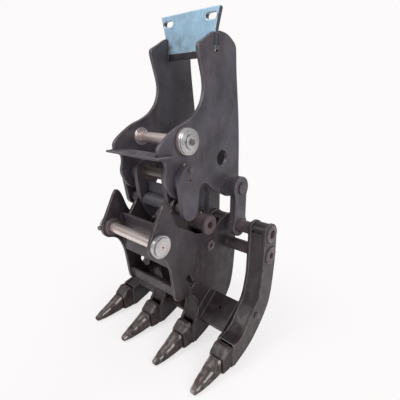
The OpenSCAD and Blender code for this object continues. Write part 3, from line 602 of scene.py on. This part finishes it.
def worn_paint(name, paint, dusting, chipping):
    """Old dark paint: cloudy tone, painted shade that darkens it towards the bottom, dust in vertical runs,
    fine scratches, and edges worn through a rusty border to bare steel."""
    f, c = Finish(name), colours()
    cloud = f.between(f.noise(7, 5), 0.32, 0.68)
    base = f.blend(cloud, tone(paint, 0.62), tone(paint, 1.25))
    # Painted shade: low down the paint darkens to near black, because the lower jaw lies in shade
    height = f.add("ShaderNodeSeparateXYZ", {0: f.place}).outputs[2]
    base = f.blend(f.between(height, -0.35, -1.05, 0.0, 0.55), base, tone(c.rust, 0.1))
    speck = f.between(f.noise(260, 2), 0.56, 0.7)
    base = f.blend(f.times(speck, 0.35), base, tone(paint, 1.9))
    runs = f.times(f.between(f.noise(30, 5, 0.6, (1, 1, 0.16)), 0.48, 0.74), dusting)
    base = f.blend(runs, base, tone(c.dust, 0.62))
    scratch = f.between(f.noise(90, 3, 0.5, (0.5, 9, 1.4), (0, 0.3, 0)), 0.70, 0.76)
    base = f.blend(f.times(scratch, 0.5), base, tone(c.bare_steel, 0.5))
    wear = f.wear()
    chip = f.plus(f.times(wear, 0.42), f.times(f.noise(55, 6, 0.65), 0.62))
    rusty = f.between(chip, 0.60 - chipping, 0.68 - chipping)
    bare = f.between(chip, 0.665 - chipping, 0.74 - chipping)
    base = f.blend(f.times(rusty, 0.7), base, tone(c.rust, 0.9))
    base = f.blend(f.times(bare, 0.8), base, tone(c.bare_steel, 0.8))
    rough = f.plus(f.between(f.noise(22, 4), 0.3, 0.7, 0.28, 0.50), f.times(runs, 0.35))
    f.give(Base_Color=base, Roughness=rough, Metallic=f.times(bare, 0.55), Specular_IOR_Level=0.55)
    f.bump((f.noise(9, 3), 0.35, 0.004), (f.noise(380, 3), 0.22, 0.0006), (chip, 0.25, 0.0006))
    return f.material


def blue_plating(name):
    """Pale blue plating: fine spangle, soft streaks, a brown stain low on one side, rubbed edges, and end
    faces square to X in the frame's paint, darkened further as painted shade.
    """
    f, c = Finish(name), colours()
    base = f.blend(f.between(f.noise(14, 5), 0.3, 0.7), tone(c.plating, 0.86), tone(c.plating, 1.08))
    spangle = f.add("ShaderNodeTexVoronoi", {"Vector": f.place, "Scale": 120.0}).outputs["Color"]
    base = f.blend(0.06, base, spangle)
    low = f.add("ShaderNodeSeparateXYZ", {0: f.place})
    side = f.between(low.outputs[0], 0.06, -0.12)
    foot = f.between(low.outputs[2], 0.49, 0.40)
    stain = f.times(f.times(side, foot), f.between(f.noise(26, 5), 0.34, 0.62))
    base = f.blend(f.times(stain, 0.75), base, tone(c.dust, 0.55))
    streak = f.between(f.noise(60, 3, 0.5, (1, 1, 0.1)), 0.55, 0.8)
    base = f.blend(f.times(streak, 0.3), base, tone(c.dust, 0.9))
    base = f.blend(f.times(f.wear(), 0.5), base, (0.8, 0.85, 0.88, 1))
    # End faces square to X take the frame's paint at half its tone: the paint is real, the extra darkness is
    # painted shade
    facing = f.add("ShaderNodeSeparateXYZ", {0: f.add("ShaderNodeNewGeometry").outputs["Normal"]}).outputs[0]
    ends = f.add("ShaderNodeMath", {0: facing}, operation="ABSOLUTE").outputs[0]
    base = f.blend(f.times(f.between(ends, 0.6, 0.85), 0.85), base, tone(c.frame_paint, 0.5))
    f.give(Base_Color=base, Metallic=0.25, Roughness=f.between(f.noise(30, 4), 0.3, 0.7, 0.34, 0.5))
    f.bump((f.noise(18, 3), 0.25, 0.002), (f.noise(420, 2), 0.15, 0.0004))
    return f.material


def turned_steel(name, steel, centre, roughness, rings=0.5, grime=0.35, groove_shades=()):
    """Turned steel: fine rings about the pin's middle, painted shade as dark rings at the given (radius,
    width) for each groove and, on the link pin, its centre hole, grime in patches and brighter broken edges."""
    f, c = Finish(name), colours()
    about = (0, -centre[0], -centre[1])
    moved = f.add("ShaderNodeMapping", {"Vector": f.place, "Location": about}).outputs[0]
    ring = f.add("ShaderNodeTexWave", {"Vector": moved, "Scale": 150.0, "Distortion": 0.6, "Detail": 3.0},
                 wave_type="RINGS", rings_direction="X").outputs["Fac"]
    base = f.blend(f.times(ring, rings), tone(steel, 0.72), tone(steel, 1.1))
    flat = f.add("ShaderNodeVectorMath", {0: moved, 1: (0, 1, 1)}, operation="MULTIPLY").outputs[0]
    radius = f.add("ShaderNodeVectorMath", {0: flat}, operation="LENGTH").outputs["Value"]
    # Painted shade: a dark ring at each radius, and a dark disc where the radius is 0, for the shade in each
    # groove and hole
    for groove, width in groove_shades:
        off = f.add("ShaderNodeMath", {0: radius, 1: groove, 2: width}, operation="COMPARE").outputs[0]
        base = f.blend(f.times(off, 0.8), base, tone(steel, 0.16))
    dirt = f.times(f.between(f.noise(38, 6, 0.62), 0.46, 0.72), grime)
    base = f.blend(dirt, base, tone(c.rust, 0.5))
    base = f.blend(f.times(f.wear(), 0.35), base, tone(steel, 1.35))
    f.give(Base_Color=base, Metallic=0.72, Roughness=f.plus(f.times(dirt, 0.5), roughness))
    f.bump((ring, 0.3 * rings, 0.0008), (f.noise(150, 3), 0.03, 0.0003))
    return f.material


def worn_casting(name, metal, shine):
    """A rough casting: pitted dark skin, reddish brown where it is scraped, and bright crests and corners,
    partly rubbed metal and partly painted highlight.
    """
    f, c = Finish(name), colours()
    base = f.blend(f.between(f.noise(16, 6), 0.3, 0.7), tone(metal, 0.4), tone(metal, 1.05))
    rusty = f.between(f.noise(48, 6, 0.65), 0.46, 0.66)
    base = f.blend(f.times(rusty, 0.45), base, tone(c.rust, 0.85))
    scrape = f.between(f.noise(70, 4, 0.5, (6, 0.5, 0.5)), 0.50, 0.72)
    broken = f.between(f.noise(34, 4, 0.5), 0.42, 0.58)
    # Painted highlight in part: wear on the upper corners and crest is lightened like rubbed metal
    rim = f.times(f.wear(), broken)
    rub_and_highlight = f.times(f.plus(rim, f.times(scrape, 0.24)), shine)
    base = f.blend(rub_and_highlight, base, tone(c.bare_steel, 1.9))
    rough = f.between(f.noise(40, 5), 0.3, 0.7, 0.42, 0.66)
    f.give(Base_Color=base, Metallic=f.times(rub_and_highlight, 0.7), Roughness=rough)
    f.bump((f.noise(22, 5), 0.4, 0.004), (f.noise(240, 5, 0.7), 0.4, 0.0009))
    return f.material


def plain_metal(name, metal, metallic, roughness, grain):
    """A small metal part: mottled tone, rubbed edges, fine grain."""
    f, c = Finish(name), colours()
    base = f.blend(f.between(f.noise(60, 5), 0.32, 0.68), tone(metal, 0.65), tone(metal, 1.15))
    base = f.blend(f.times(f.between(f.noise(120, 4), 0.52, 0.7), 0.4), base, tone(c.rust, 0.8))
    base = f.blend(f.times(f.wear(), 0.5), base, tone(metal, 1.6))
    rough = f.between(f.noise(80, 3), 0.3, 0.7, roughness, roughness + 0.2)
    f.give(Base_Color=base, Metallic=metallic, Roughness=rough)
    f.bump((f.noise(grain, 4), 0.35, 0.0008))
    return f.material


def mix_finishes():
    """Makes every finish once. Paints: colour, dusting, chipping. Turned steel: colour, middle, roughness,
    rings, grime, groove shades. Castings: colour, shine. Plain metals: colour, metallic, roughness, grain."""
    c = colours()
    link = middle("link_pin_shaft")
    FINISH.update(
        frame=worn_paint("worn frame paint", c.frame_paint, 0.42, 0.0),
        # Painted shade: the frame paint at a third of its tone, standing for the shade inside the frame at
        # the head and rear ties
        shade=worn_paint("shaded frame paint", tone(c.frame_paint, 0.3), 0.12, 0.0),
        jaw=worn_paint("worn jaw paint", c.jaw_paint, 0.30, 0.01),
        plating=blue_plating("pale blue plating"),
        # The (radius, width) tables of the cap, flange and link pin are painted shade rings
        cap=turned_steel("turned cap steel", c.machined, middle("stick_pin_caps"), 0.26, 0.9, 0.45,
                         ((0.0310, 0.0014), (0.0475, 0.0010))),
        flange=turned_steel("turned flange steel", c.machined, link, 0.30, 0.9, 0.5,
                            ((0.0252, 0.0012), (0.0428, 0.0011))),
        # The pin and link pin steels are lifted above the pin colour to paint the long highlight on the pins
        pin=turned_steel("ground pin steel with painted sheen", tone(c.pin, 1.35), middle("stick_pin_shaft"), 0.24, 0.0, 0.04),
        dark_pin=turned_steel("dark pin steel", tone(c.pin, 0.46), middle("arm_pin_shaft"), 0.30, 0.0, 0.12),
        link_pin=turned_steel("ground link pin steel with painted sheen", tone(c.pin, 1.25), link, 0.24, 0.0, 0.05,
                              ((0.0, 0.005), (0.012, 0.0016), (0.019, 0.0014))),
        # Boss paint: frame paint lifted by half, partly rubbed paint and partly painted highlight on lit
        # tops and rims
        boss=worn_paint("rubbed and highlit boss paint", tone(c.frame_paint, 1.5), 0.3, 0.02),
        # Hub paint: partly rubbed paint and partly painted highlight on the hubs, rings and tie tubes
        hub=worn_paint("rubbed and highlit hub paint", c.hub_paint, 0.2, 0.0),
        front=worn_paint("dusty front paint", tone(c.jaw_paint, 1.25), 0.6, 0.01),
        tooth=worn_casting("worn tooth casting", tone(c.cast, 0.8), 0.85),
        adapter=worn_casting("adapter casting", tone(c.adapter, 0.85), 0.2),
        bronze=plain_metal("bush bronze", c.brass, 0.8, 0.35, 200),
        nipple=plain_metal("nipple plating", c.grease, 0.8, 0.3, 300),
        bolt=plain_metal("bolt steel", tone(c.bare_steel, 0.55), 0.6, 0.45, 260),
        weld=plain_metal("painted weld", tone(c.frame_paint, 0.85), 0.2, 0.42, 340))


class Maker:
    """What every operator of the panel shares."""
    bl_options = {"REGISTER"}

    def execute(self, context):
        if not FINISH:
            mix_finishes()
        self.make(sizes())
        return {"FINISHED"}


class GRAPPLE_OT_side_plates(Maker, bpy.types.Operator):
    """Cut the two side plates with rounded, worn rims"""
    bl_idname = "grapple.side_plates"
    bl_label = "Side plates"

    def make(self, s):
        for node in ("side_plate_near", "side_plate_far"):
            plate_piece(node, 0, s.plate_edge, "frame")
        # The head and rear ties take the shade finish, a frame paint darkened as painted shade
        for node in ("head_tie", "rear_tie"):
            plate_piece(node, 1, s.strap_edge, "shade", blur=0.002)
        # The stop plate takes the lighter boss paint as painted highlight on its lit top and rims
        plate_piece("stop_plate", 2, s.plate_edge, "boss", blur=0.003)


class GRAPPLE_OT_stick_bracket(Maker, bpy.types.Operator):
    """Cut the plated bracket with its two slots"""
    bl_idname = "grapple.stick_bracket"
    bl_label = "Stick bracket"

    def make(self, s):
        plate_piece("stick_bracket", 1, s.plate_edge, "plating", blur=0.0015, step=0.004)


class GRAPPLE_OT_frame_pins(Maker, bpy.types.Operator):
    """Turn the pins, caps, bosses and bolts of the frame"""
    bl_idname = "grapple.frame_pins"
    bl_label = "Frame pins"

    def make(self, s):
        e = s.turned_edge
        softened_piece("stick_pin_shaft", e, "pin")
        softened_piece("stick_pin_caps", e, "cap")
        softened_piece("stick_pin_bolts", e, "bolt")
        softened_piece("stick_pin_bosses", 1.6 * e, "pin", slot="bright_steel")
        for node in ("arm_pin_bosses", "rear_pin_bosses"):
            softened_piece(node, 1.6 * e, "boss")
        for node in ("arm_pin_shaft", "arm_pin_spacers", "rear_pins"):
            softened_piece(node, e, "dark_pin")
        softened_piece("rear_pin_caps", e, "frame", slot="pin_steel")
        softened_piece("arm_pin_keepers", e, "boss", slot="bright_steel")
        softened_piece("grease_nipples_frame", 0.4 * e, "nipple", axis=2)


class GRAPPLE_OT_arms(Maker, bpy.types.Operator):
    """Cut the inner and outer arms and turn their tube, web and bushes"""
    bl_idname = "grapple.arms"
    bl_label = "Arms"

    def make(self, s):
        for node in ("arm_near", "arm_far"):
            plate_piece(node, 0, s.plate_edge, "frame")
        for node in ("outer_arm_near", "outer_arm_far"):
            softened_piece(node, s.plate_edge, "frame", framed=True)
        softened_piece("arm_tie_tube", s.turned_edge, "frame")
        softened_piece("arm_web", s.turned_edge, "frame", framed=True)
        softened_piece("arm_bushes", 0.6 * s.turned_edge, "bronze")


class GRAPPLE_OT_links(Maker, bpy.types.Operator):
    """Cut the thick rear links and their bushes"""
    bl_idname = "grapple.links"
    bl_label = "Rear links"

    def make(self, s):
        for node in ("link_near", "link_far", "inner_link_near", "inner_link_far"):
            plate_piece(node, 0, 1.5 * s.plate_edge, "frame")
        for node in ("link_bush_near", "link_bush_far"):
            softened_piece(node, 0.6 * s.turned_edge, "bronze")


class GRAPPLE_OT_cheeks(Maker, bpy.types.Operator):
    """Cut the jaw cheeks and lugs and turn their hubs and rings"""
    bl_idname = "grapple.cheeks"
    bl_label = "Jaw cheeks"

    def make(self, s):
        for node in ("cheek_near", "cheek_far", "jaw_lugs"):
            plate_piece(node, 0, s.plate_edge, "jaw")
        for node, finish in (("jaw_hubs", "hub"), ("second_hole_rings", "hub"), ("jaw_pin_bosses", "jaw"),
                             ("link_pin_collars", "hub")):
            softened_piece(node, 1.6 * s.turned_edge, finish)


class GRAPPLE_OT_tines(Maker, bpy.types.Operator):
    """Cut the boxed tines: plates, straps and chest plates"""
    bl_idname = "grapple.tines"
    bl_label = "Tines"

    def make(self, s):
        for node in ("inner_tine_plates", "outer_tine_plates"):
            plate_piece(node, 0, s.plate_edge, "jaw")
        for node in ("back_straps", "face_straps", "chest_plates"):
            plate_piece(node, 0, s.strap_edge, "jaw", blur=0.012, step=0.004)
        softened_piece("tine_bolts", s.turned_edge, "bolt")


class GRAPPLE_OT_cross_parts(Maker, bpy.types.Operator):
    """Cut the front plates and beams and turn the tie tubes"""
    bl_idname = "grapple.cross_parts"
    bl_label = "Cross plates and tubes"

    def make(self, s):
        for node in ("front_plate", "lower_front_plate", "belly_plate"):
            plate_piece(node, 0, s.plate_edge, "front", blur=0.002)
        for node in ("centre_beam", "side_beams"):
            softened_piece(node, 2 * s.turned_edge, "jaw", framed=True)
        # Tie tubes and their rings take the lighter hub paint, partly as painted highlight
        for node in ("upper_tie_tubes", "lower_tie_tubes", "tie_tube_rings"):
            softened_piece(node, 1.4 * s.turned_edge, "hub")


class GRAPPLE_OT_jaw_pins(Maker, bpy.types.Operator):
    """Turn the link pin with its flanges and cross bolt, and the jaw pin"""
    bl_idname = "grapple.jaw_pins"
    bl_label = "Jaw pins"

    def make(self, s):
        e = s.turned_edge
        softened_piece("link_pin_shaft", e, "link_pin")
        softened_piece("link_pin_flanges", e, "flange")
        softened_piece("link_pin_bolt", 0.7 * e, "bolt", axis=1)
        softened_piece("jaw_pin_shaft", e, "dark_pin")
        softened_piece("grease_nipples_jaw", 0.4 * e, "nipple", axis=2)


# Castings from root to tip: lines of (u, share y, share z), and half widths of (u, metres)
TOOTH_TOP = [(0, 0.647, 0.326), (0.15, 0.55, 0.276), (0.41, 0.38, 0.191), (0.70, 0.19, 0.117),
             (1, -0.006, 0.034)]
TOOTH_FOOT = [(0, 0.680, -0.010), (0.18, 0.55, -0.020), (0.43, 0.38, -0.029), (0.72, 0.18, -0.030),
              (1, -0.006, -0.018)]
TOOTH_HALF = [(0, 0.0340), (0.15, 0.0330), (0.41, 0.0292), (0.70, 0.0238), (0.9, 0.0180), (1, 0.0135)]
ADAPTER_TOP = [(0, 0.667, 0.334), (0.12, 0.69, 0.360), (0.6, 0.83, 0.480), (0.82, 0.90, 0.478),
               (1, 0.945, 0.440)]
ADAPTER_FOOT = [(0, 0.698, -0.030), (0.3, 0.77, -0.038), (0.6, 0.86, -0.048), (1, 0.945, -0.040)]
ADAPTER_HALF = [(0, 0.0400), (0.12, 0.0425), (0.3, 0.0430), (1, 0.0430)]
NOSE_TOP = [(0, 0.76, 0.243), (0.35, 0.62, 0.220), (0.9, 0.48, 0.155), (1, 0.465, 0.130)]
NOSE_FOOT = [(0, 0.76, 0.050), (0.35, 0.62, 0.060), (0.9, 0.48, 0.070), (1, 0.465, 0.100)]
NOSE_HALF = [(0, 0.0170), (1, 0.0165)]


def placed(table):
    """A table of (u, share y, share z) with its places in metres."""
    return [(u, *spot(y, z)) for u, y, z in table]


class GRAPPLE_OT_teeth(Maker, bpy.types.Operator):
    """Loft the four worn teeth and their adapters, and turn the locking pins"""
    bl_idname = "grapple.teeth"
    bl_label = "Teeth and adapters"

    def make(self, s):
        tooth = lofted(placed(TOOTH_TOP), placed(TOOTH_FOOT), TOOTH_HALF, 7.0, s.tooth_ridge, s.tooth_flute)
        body = lofted(placed(ADAPTER_TOP), placed(ADAPTER_FOOT), ADAPTER_HALF, 9.0, blunt=0.04, across=72)
        nose = lofted(placed(NOSE_TOP), placed(NOSE_FOOT), NOSE_HALF, 7.0)
        self.row("teeth", [tooth], "tooth", s)
        self.row("tooth_adapters", [body, nose], "adapter", s)
        softened_piece("tooth_pins", 0.6 * s.turned_edge, "bolt")

    def row(self, node, lofts, finish, s):
        """The same castings at every tine."""
        parts = [closed_grid(grid + np.array([tine * s.pitch, 0, 0]), wear)
                 for tine in TINES for grid, wear in lofts]
        return finished(node + "_cast", parts, finish, "jaw", [node])


# Seams of the frame: setback from the stop plate's front, gap under the head, gap over the bracket's foot
STOP_SETBACK, HEAD_GAP, FOOT_GAP = 0.012, 0.01, 0.016


class GRAPPLE_OT_frame_welds(Maker, bpy.types.Operator):
    """Lay weld beads around the frame's bosses, stop plate, bracket and ties"""
    bl_idname = "grapple.frame_welds"
    bl_label = "Frame welds"

    def make(self, s):
        near_in, near_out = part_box("side_plate_near")[0].x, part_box("side_plate_near")[1].x
        paths = []
        for m in (-1, 1):
            for node in ("stick_pin_bosses", "arm_pin_bosses", "rear_pin_bosses"):
                low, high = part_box(node)
                paths.append(ring_path(middle(node), (high.z - low.z) / 2, m * near_out))
            low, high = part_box("stop_plate")
            for x in (near_in, near_out):
                for z in (low.z, high.z):
                    paths.append([(m * x, low.y + STOP_SETBACK, z), (m * x, high.y, z)])
            low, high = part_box("stick_bracket")
            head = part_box("side_plate_near")[1].z - HEAD_GAP
            for x in (near_in, near_out):
                for y in (low.y, high.y):
                    paths.append([(m * x, y, low.z + FOOT_GAP), (m * x, y, head)])
            for node in ("head_tie", "rear_tie"):
                low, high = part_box(node)
                for y in (low.y, high.y):
                    paths.append([(m * near_in, y, low.z), (m * near_in, y, high.z)])
        bead_piece("frame_weld_beads", paths, "frame")


# Radii of the jaw's ring beads
HUB_BEAD, COLLAR_BEAD, TUBE_BEAD, TUBE_RING_BEAD = 0.048, 0.042, 0.032, 0.044
# From the end of a tie tube to the inner face of its tine, and the tine's width over both plates
TINE_INSET, TINE_WIDTH = 0.108, 0.1
# Half the distance between a tine's seams, how far they lie inside its outline, and half an adapter's width
TINE_SEAM, SEAM_INSET, ADAPTER_SIDE = 0.034, 0.006, 0.043
# Places along a tine's seam, and places to either side in its running mean
SEAM_PLACES, SEAM_REACH = 120, 6
# Shares (y, z) along the seams of the tines, front plates, beams and adapters
BACK_SEAM = [(1.95, 2.405), (1.975, 2.475), (2.04, 2.53), (2.13, 2.545), (2.225, 2.51), (2.285, 2.41),
             (2.285, 2.25), (2.29, 2.07), (2.295, 1.76), (2.275, 1.50), (2.245, 1.22), (2.195, 0.96),
             (2.12, 0.77), (1.95, 0.56), (1.76, 0.39), (1.58, 0.26), (1.39, 0.16)]
FACE_SEAM = [(1.945, 2.395), (1.945, 2.15), (1.94, 1.90), (1.93, 1.53), (1.89, 1.30), (1.82, 1.06),
             (1.69, 0.855), (1.445, 0.59), (1.225, 0.46)]
FRONT_SEAMS = [[(0.302, 2.76), (0.342, 2.0)], [(0.462, 1.49), (0.522, 1.28)]]
BEAM_FOOT_SEAM, BEAM_TOP_SEAM = [(1.66, 0.90), (1.13, 0.50)], [(1.515, 1.09), (0.985, 0.69)]
ADAPTER_SEAM = [(0.95, -0.03), (0.95, 0.43)]


class GRAPPLE_OT_jaw_welds(Maker, bpy.types.Operator):
    """Lay weld beads along the jaw's hubs, tubes, straps, front plates, beams and adapters"""
    bl_idname = "grapple.jaw_welds"
    bl_label = "Jaw welds"

    def make(self, s):
        cheek_in, cheek_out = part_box("cheek_near")[0].x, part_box("cheek_near")[1].x
        far_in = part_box("upper_tie_tubes")[1].x - TINE_INSET
        far_out = far_in + TINE_WIDTH
        rings, seams, cross = [], [], []
        for m in (-1, 1):
            rings.append(ring_path(middle("jaw_hubs"), HUB_BEAD, m * cheek_out))
            rings.append(ring_path(middle("link_pin_collars"), COLLAR_BEAD, m * cheek_in))
            for node in ("upper_tie_tubes", "lower_tie_tubes"):
                for x in (cheek_out, far_in):
                    rings.append(ring_path(middle(node), TUBE_BEAD, m * x))
                rings.append(ring_path(middle(node), TUBE_RING_BEAD, m * far_out))
        bead_piece("jaw_ring_beads", rings, "jaw")
        back, face = self.soft(BACK_SEAM, -SEAM_INSET), self.soft(FACE_SEAM, SEAM_INSET)
        for m in (-1, 1):
            for tine, lines in ((TINES[2], (back,)), (TINES[3], (back, face))):
                for line in lines:
                    for side in (-1, 1):
                        x = m * (tine * s.pitch + side * TINE_SEAM)
                        seams.append(np.column_stack([np.full(len(line), x), line]))
        bead_piece("tine_seam_beads", seams, "jaw", 0.8 * s.bead_radius)
        for m in (-1, 1):
            for seam in FRONT_SEAMS:
                cross.append(level_path(seam, m * cheek_in))
            cross += [level_path(BEAM_FOOT_SEAM, m * cheek_out), level_path(BEAM_TOP_SEAM, m * cheek_out),
                      level_path(BEAM_FOOT_SEAM, m * far_in)]
        for tine in TINES:
            for side in (-1, 1):
                cross.append(level_path(ADAPTER_SEAM, tine * s.pitch + side * ADAPTER_SIDE))
        bead_piece("jaw_cross_beads", cross, "jaw")

    def soft(self, shares, away):
        """A smooth line of (y, z) through shares, moved square to its run."""
        line = np.array([spot(*p) for p in shares])
        run = np.concatenate([[0], np.linalg.norm(np.diff(line, axis=0), axis=1).cumsum()])
        line = smoothed(sampled(np.linspace(0, run[-1], SEAM_PLACES), run, line), SEAM_REACH)
        tangent = unit(np.gradient(line, axis=0))
        return line + np.stack([-tangent[:, 1], tangent[:, 0]], 1) * -away


# Lamps of (name, place, aim, width, power), and the rings and sides of the floor's disc
LAMPS = (("key light", (-1.2, -2.6, 2.7), (0, 0, -0.3), 1.8, 120),
         ("side light", (3.4, -0.6, 1.5), (0, 0, -0.4), 2.4, 60),
         ("rim light", (0.6, 3.0, 2.6), (0, 0, -0.2), 2.0, 55))
FLOOR_RINGS, FLOOR_SIDES, FLOOR_GAP = (0.4, 1.5, 4.0, 12.0), 96, 0.001
# Strength of the world for light that falls on things, and for what the camera sees
WORLD_LIGHT, WORLD_SEEN = 0.38, 1.0
# The floor glows for the camera from NEAR to FAR of (reach, share)
GLOW_NEAR, GLOW_FAR = (0.4, 0.35), (1.7, 1.0)


class GRAPPLE_OT_stage(Maker, bpy.types.Operator):
    """Set the pale floor, the soft lights and the camera"""
    bl_idname = "grapple.stage"
    bl_label = "Stage"

    def make(self, s):
        c = colours()
        scene = bpy.context.scene
        scene.view_settings.view_transform = "Standard"
        floor = self.floor(CAD_BOX[0].z - FLOOR_GAP, c)
        self.sky(scene, c)
        for name, place, aim, width, power in LAMPS:
            lamp = linked(name, bpy.data.lights.new(name, "AREA"))
            lamp.data.size, lamp.data.energy = width, power
            lamp.location = place
            lamp.rotation_euler = (Vector(aim) - Vector(place)).to_track_quat("-Z", "Y").to_euler()
        camera = linked("camera", bpy.data.cameras.new("camera"))
        camera.data.sensor_width, camera.data.lens = 36, s.lens
        camera.data.clip_start = 0.01
        camera.location = s.eye
        camera.rotation_euler = Vector(s.gaze).to_track_quat("-Z", "Y").to_euler()
        scene.camera = camera

    def floor(self, level, c):
        """A wide disc whose height is level, as a grid of angle and reach."""
        turn = np.linspace(0, 2 * np.pi, FLOOR_SIDES, endpoint=False)
        reach = np.array(FLOOR_RINGS)[:, None]
        x, y = reach * np.cos(turn), reach * np.sin(turn)
        ring = np.stack([x, y, np.full_like(x, level)], -1)
        number = np.arange(x.size).reshape(x.shape)
        beside = np.roll(number, -1, axis=1)
        faces = np.stack([number[:-1], number[1:], beside[1:], beside[:-1]], -1).reshape(-1, 4).tolist()
        mesh = bpy.data.meshes.new("floor")
        mesh.from_pydata(ring.reshape(-1, 3).tolist(), [], faces + [number[0].tolist()])
        floor = linked("floor", mesh)
        f = Finish("pale floor")
        f.give(Base_Color=tone(c.backdrop, 0.94), Roughness=0.9, Specular_IOR_Level=0.2)
        f.bump((f.noise(40, 3), 0.05, 0.002))
        reached = f.add("ShaderNodeVectorMath", {0: f.place}, operation="LENGTH").outputs["Value"]
        share = f.between(reached, GLOW_NEAR[0], GLOW_FAR[0], GLOW_NEAR[1], GLOW_FAR[1])
        far = f.times(share, f.add("ShaderNodeLightPath").outputs["Is Camera Ray"])
        glow = f.add("ShaderNodeEmission", {"Color": tone(c.backdrop), "Strength": 1.0}).outputs[0]
        joined = f.add("ShaderNodeMixShader", {0: far, 1: f.shader.outputs[0], 2: glow}).outputs[0]
        f.tree.links.new(joined, f.tree.nodes["Material Output"].inputs["Surface"])
        floor.data.materials.append(f.material)
        return floor

    def sky(self, scene, c):
        """An even world: a plain level of light, and the pale backdrop to the camera and through glass."""
        scene.world = bpy.data.worlds.new("studio")
        scene.world.use_nodes = True
        tree = scene.world.node_tree
        path = tree.nodes.new("ShaderNodeLightPath")
        seen = tree.nodes.new("ShaderNodeMath")
        seen.operation = "MAXIMUM"
        tree.links.new(path.outputs["Is Camera Ray"], seen.inputs[0])
        tree.links.new(path.outputs["Is Transmission Ray"], seen.inputs[1])
        level = tree.nodes.new("ShaderNodeMapRange")
        tree.links.new(seen.outputs[0], level.inputs[0])
        level.inputs[3].default_value, level.inputs[4].default_value = WORLD_LIGHT, WORLD_SEEN
        sky = tree.nodes["Background"]
        sky.inputs[0].default_value = tone(c.backdrop)
        tree.links.new(level.outputs[0], sky.inputs[1])


MAKERS = (GRAPPLE_OT_side_plates, GRAPPLE_OT_stick_bracket, GRAPPLE_OT_frame_pins, GRAPPLE_OT_arms,
          GRAPPLE_OT_links, GRAPPLE_OT_cheeks, GRAPPLE_OT_tines, GRAPPLE_OT_cross_parts, GRAPPLE_OT_jaw_pins,
          GRAPPLE_OT_teeth, GRAPPLE_OT_frame_welds, GRAPPLE_OT_jaw_welds, GRAPPLE_OT_stage)


class GRAPPLE_PT_panel(bpy.types.Panel):
    """The grapple's sizes, colours and makers"""
    bl_idname = "GRAPPLE_PT_panel"
    bl_label = "Grapple"
    bl_space_type = "VIEW_3D"
    bl_region_type = "UI"
    bl_category = "Grapple"

    def draw(self, context):
        for group in (context.scene.grapple_sizes, context.scene.grapple_colours):
            box = self.layout.box()
            for key in group.bl_rna.properties.keys():
                if key not in ("rna_type", "name"):
                    box.prop(group, key)
        for maker in MAKERS:
            self.layout.operator(maker.bl_idname)


CLASSES = (GrappleSizes, GrappleColours, *MAKERS, GRAPPLE_PT_panel)


def register():
    for kind in CLASSES:
        bpy.utils.register_class(kind)
    bpy.types.Scene.grapple_sizes = PointerProperty(type=GrappleSizes)
    bpy.types.Scene.grapple_colours = PointerProperty(type=GrappleColours)


def unregister():
    del bpy.types.Scene.grapple_colours
    del bpy.types.Scene.grapple_sizes
    for kind in reversed(CLASSES):
        bpy.utils.unregister_class(kind)


def main():
    register()
    for maker in MAKERS:
        group, name = maker.bl_idname.split(".")
        getattr(getattr(bpy.ops, group), name)()


if __name__ == "__main__":
    main()
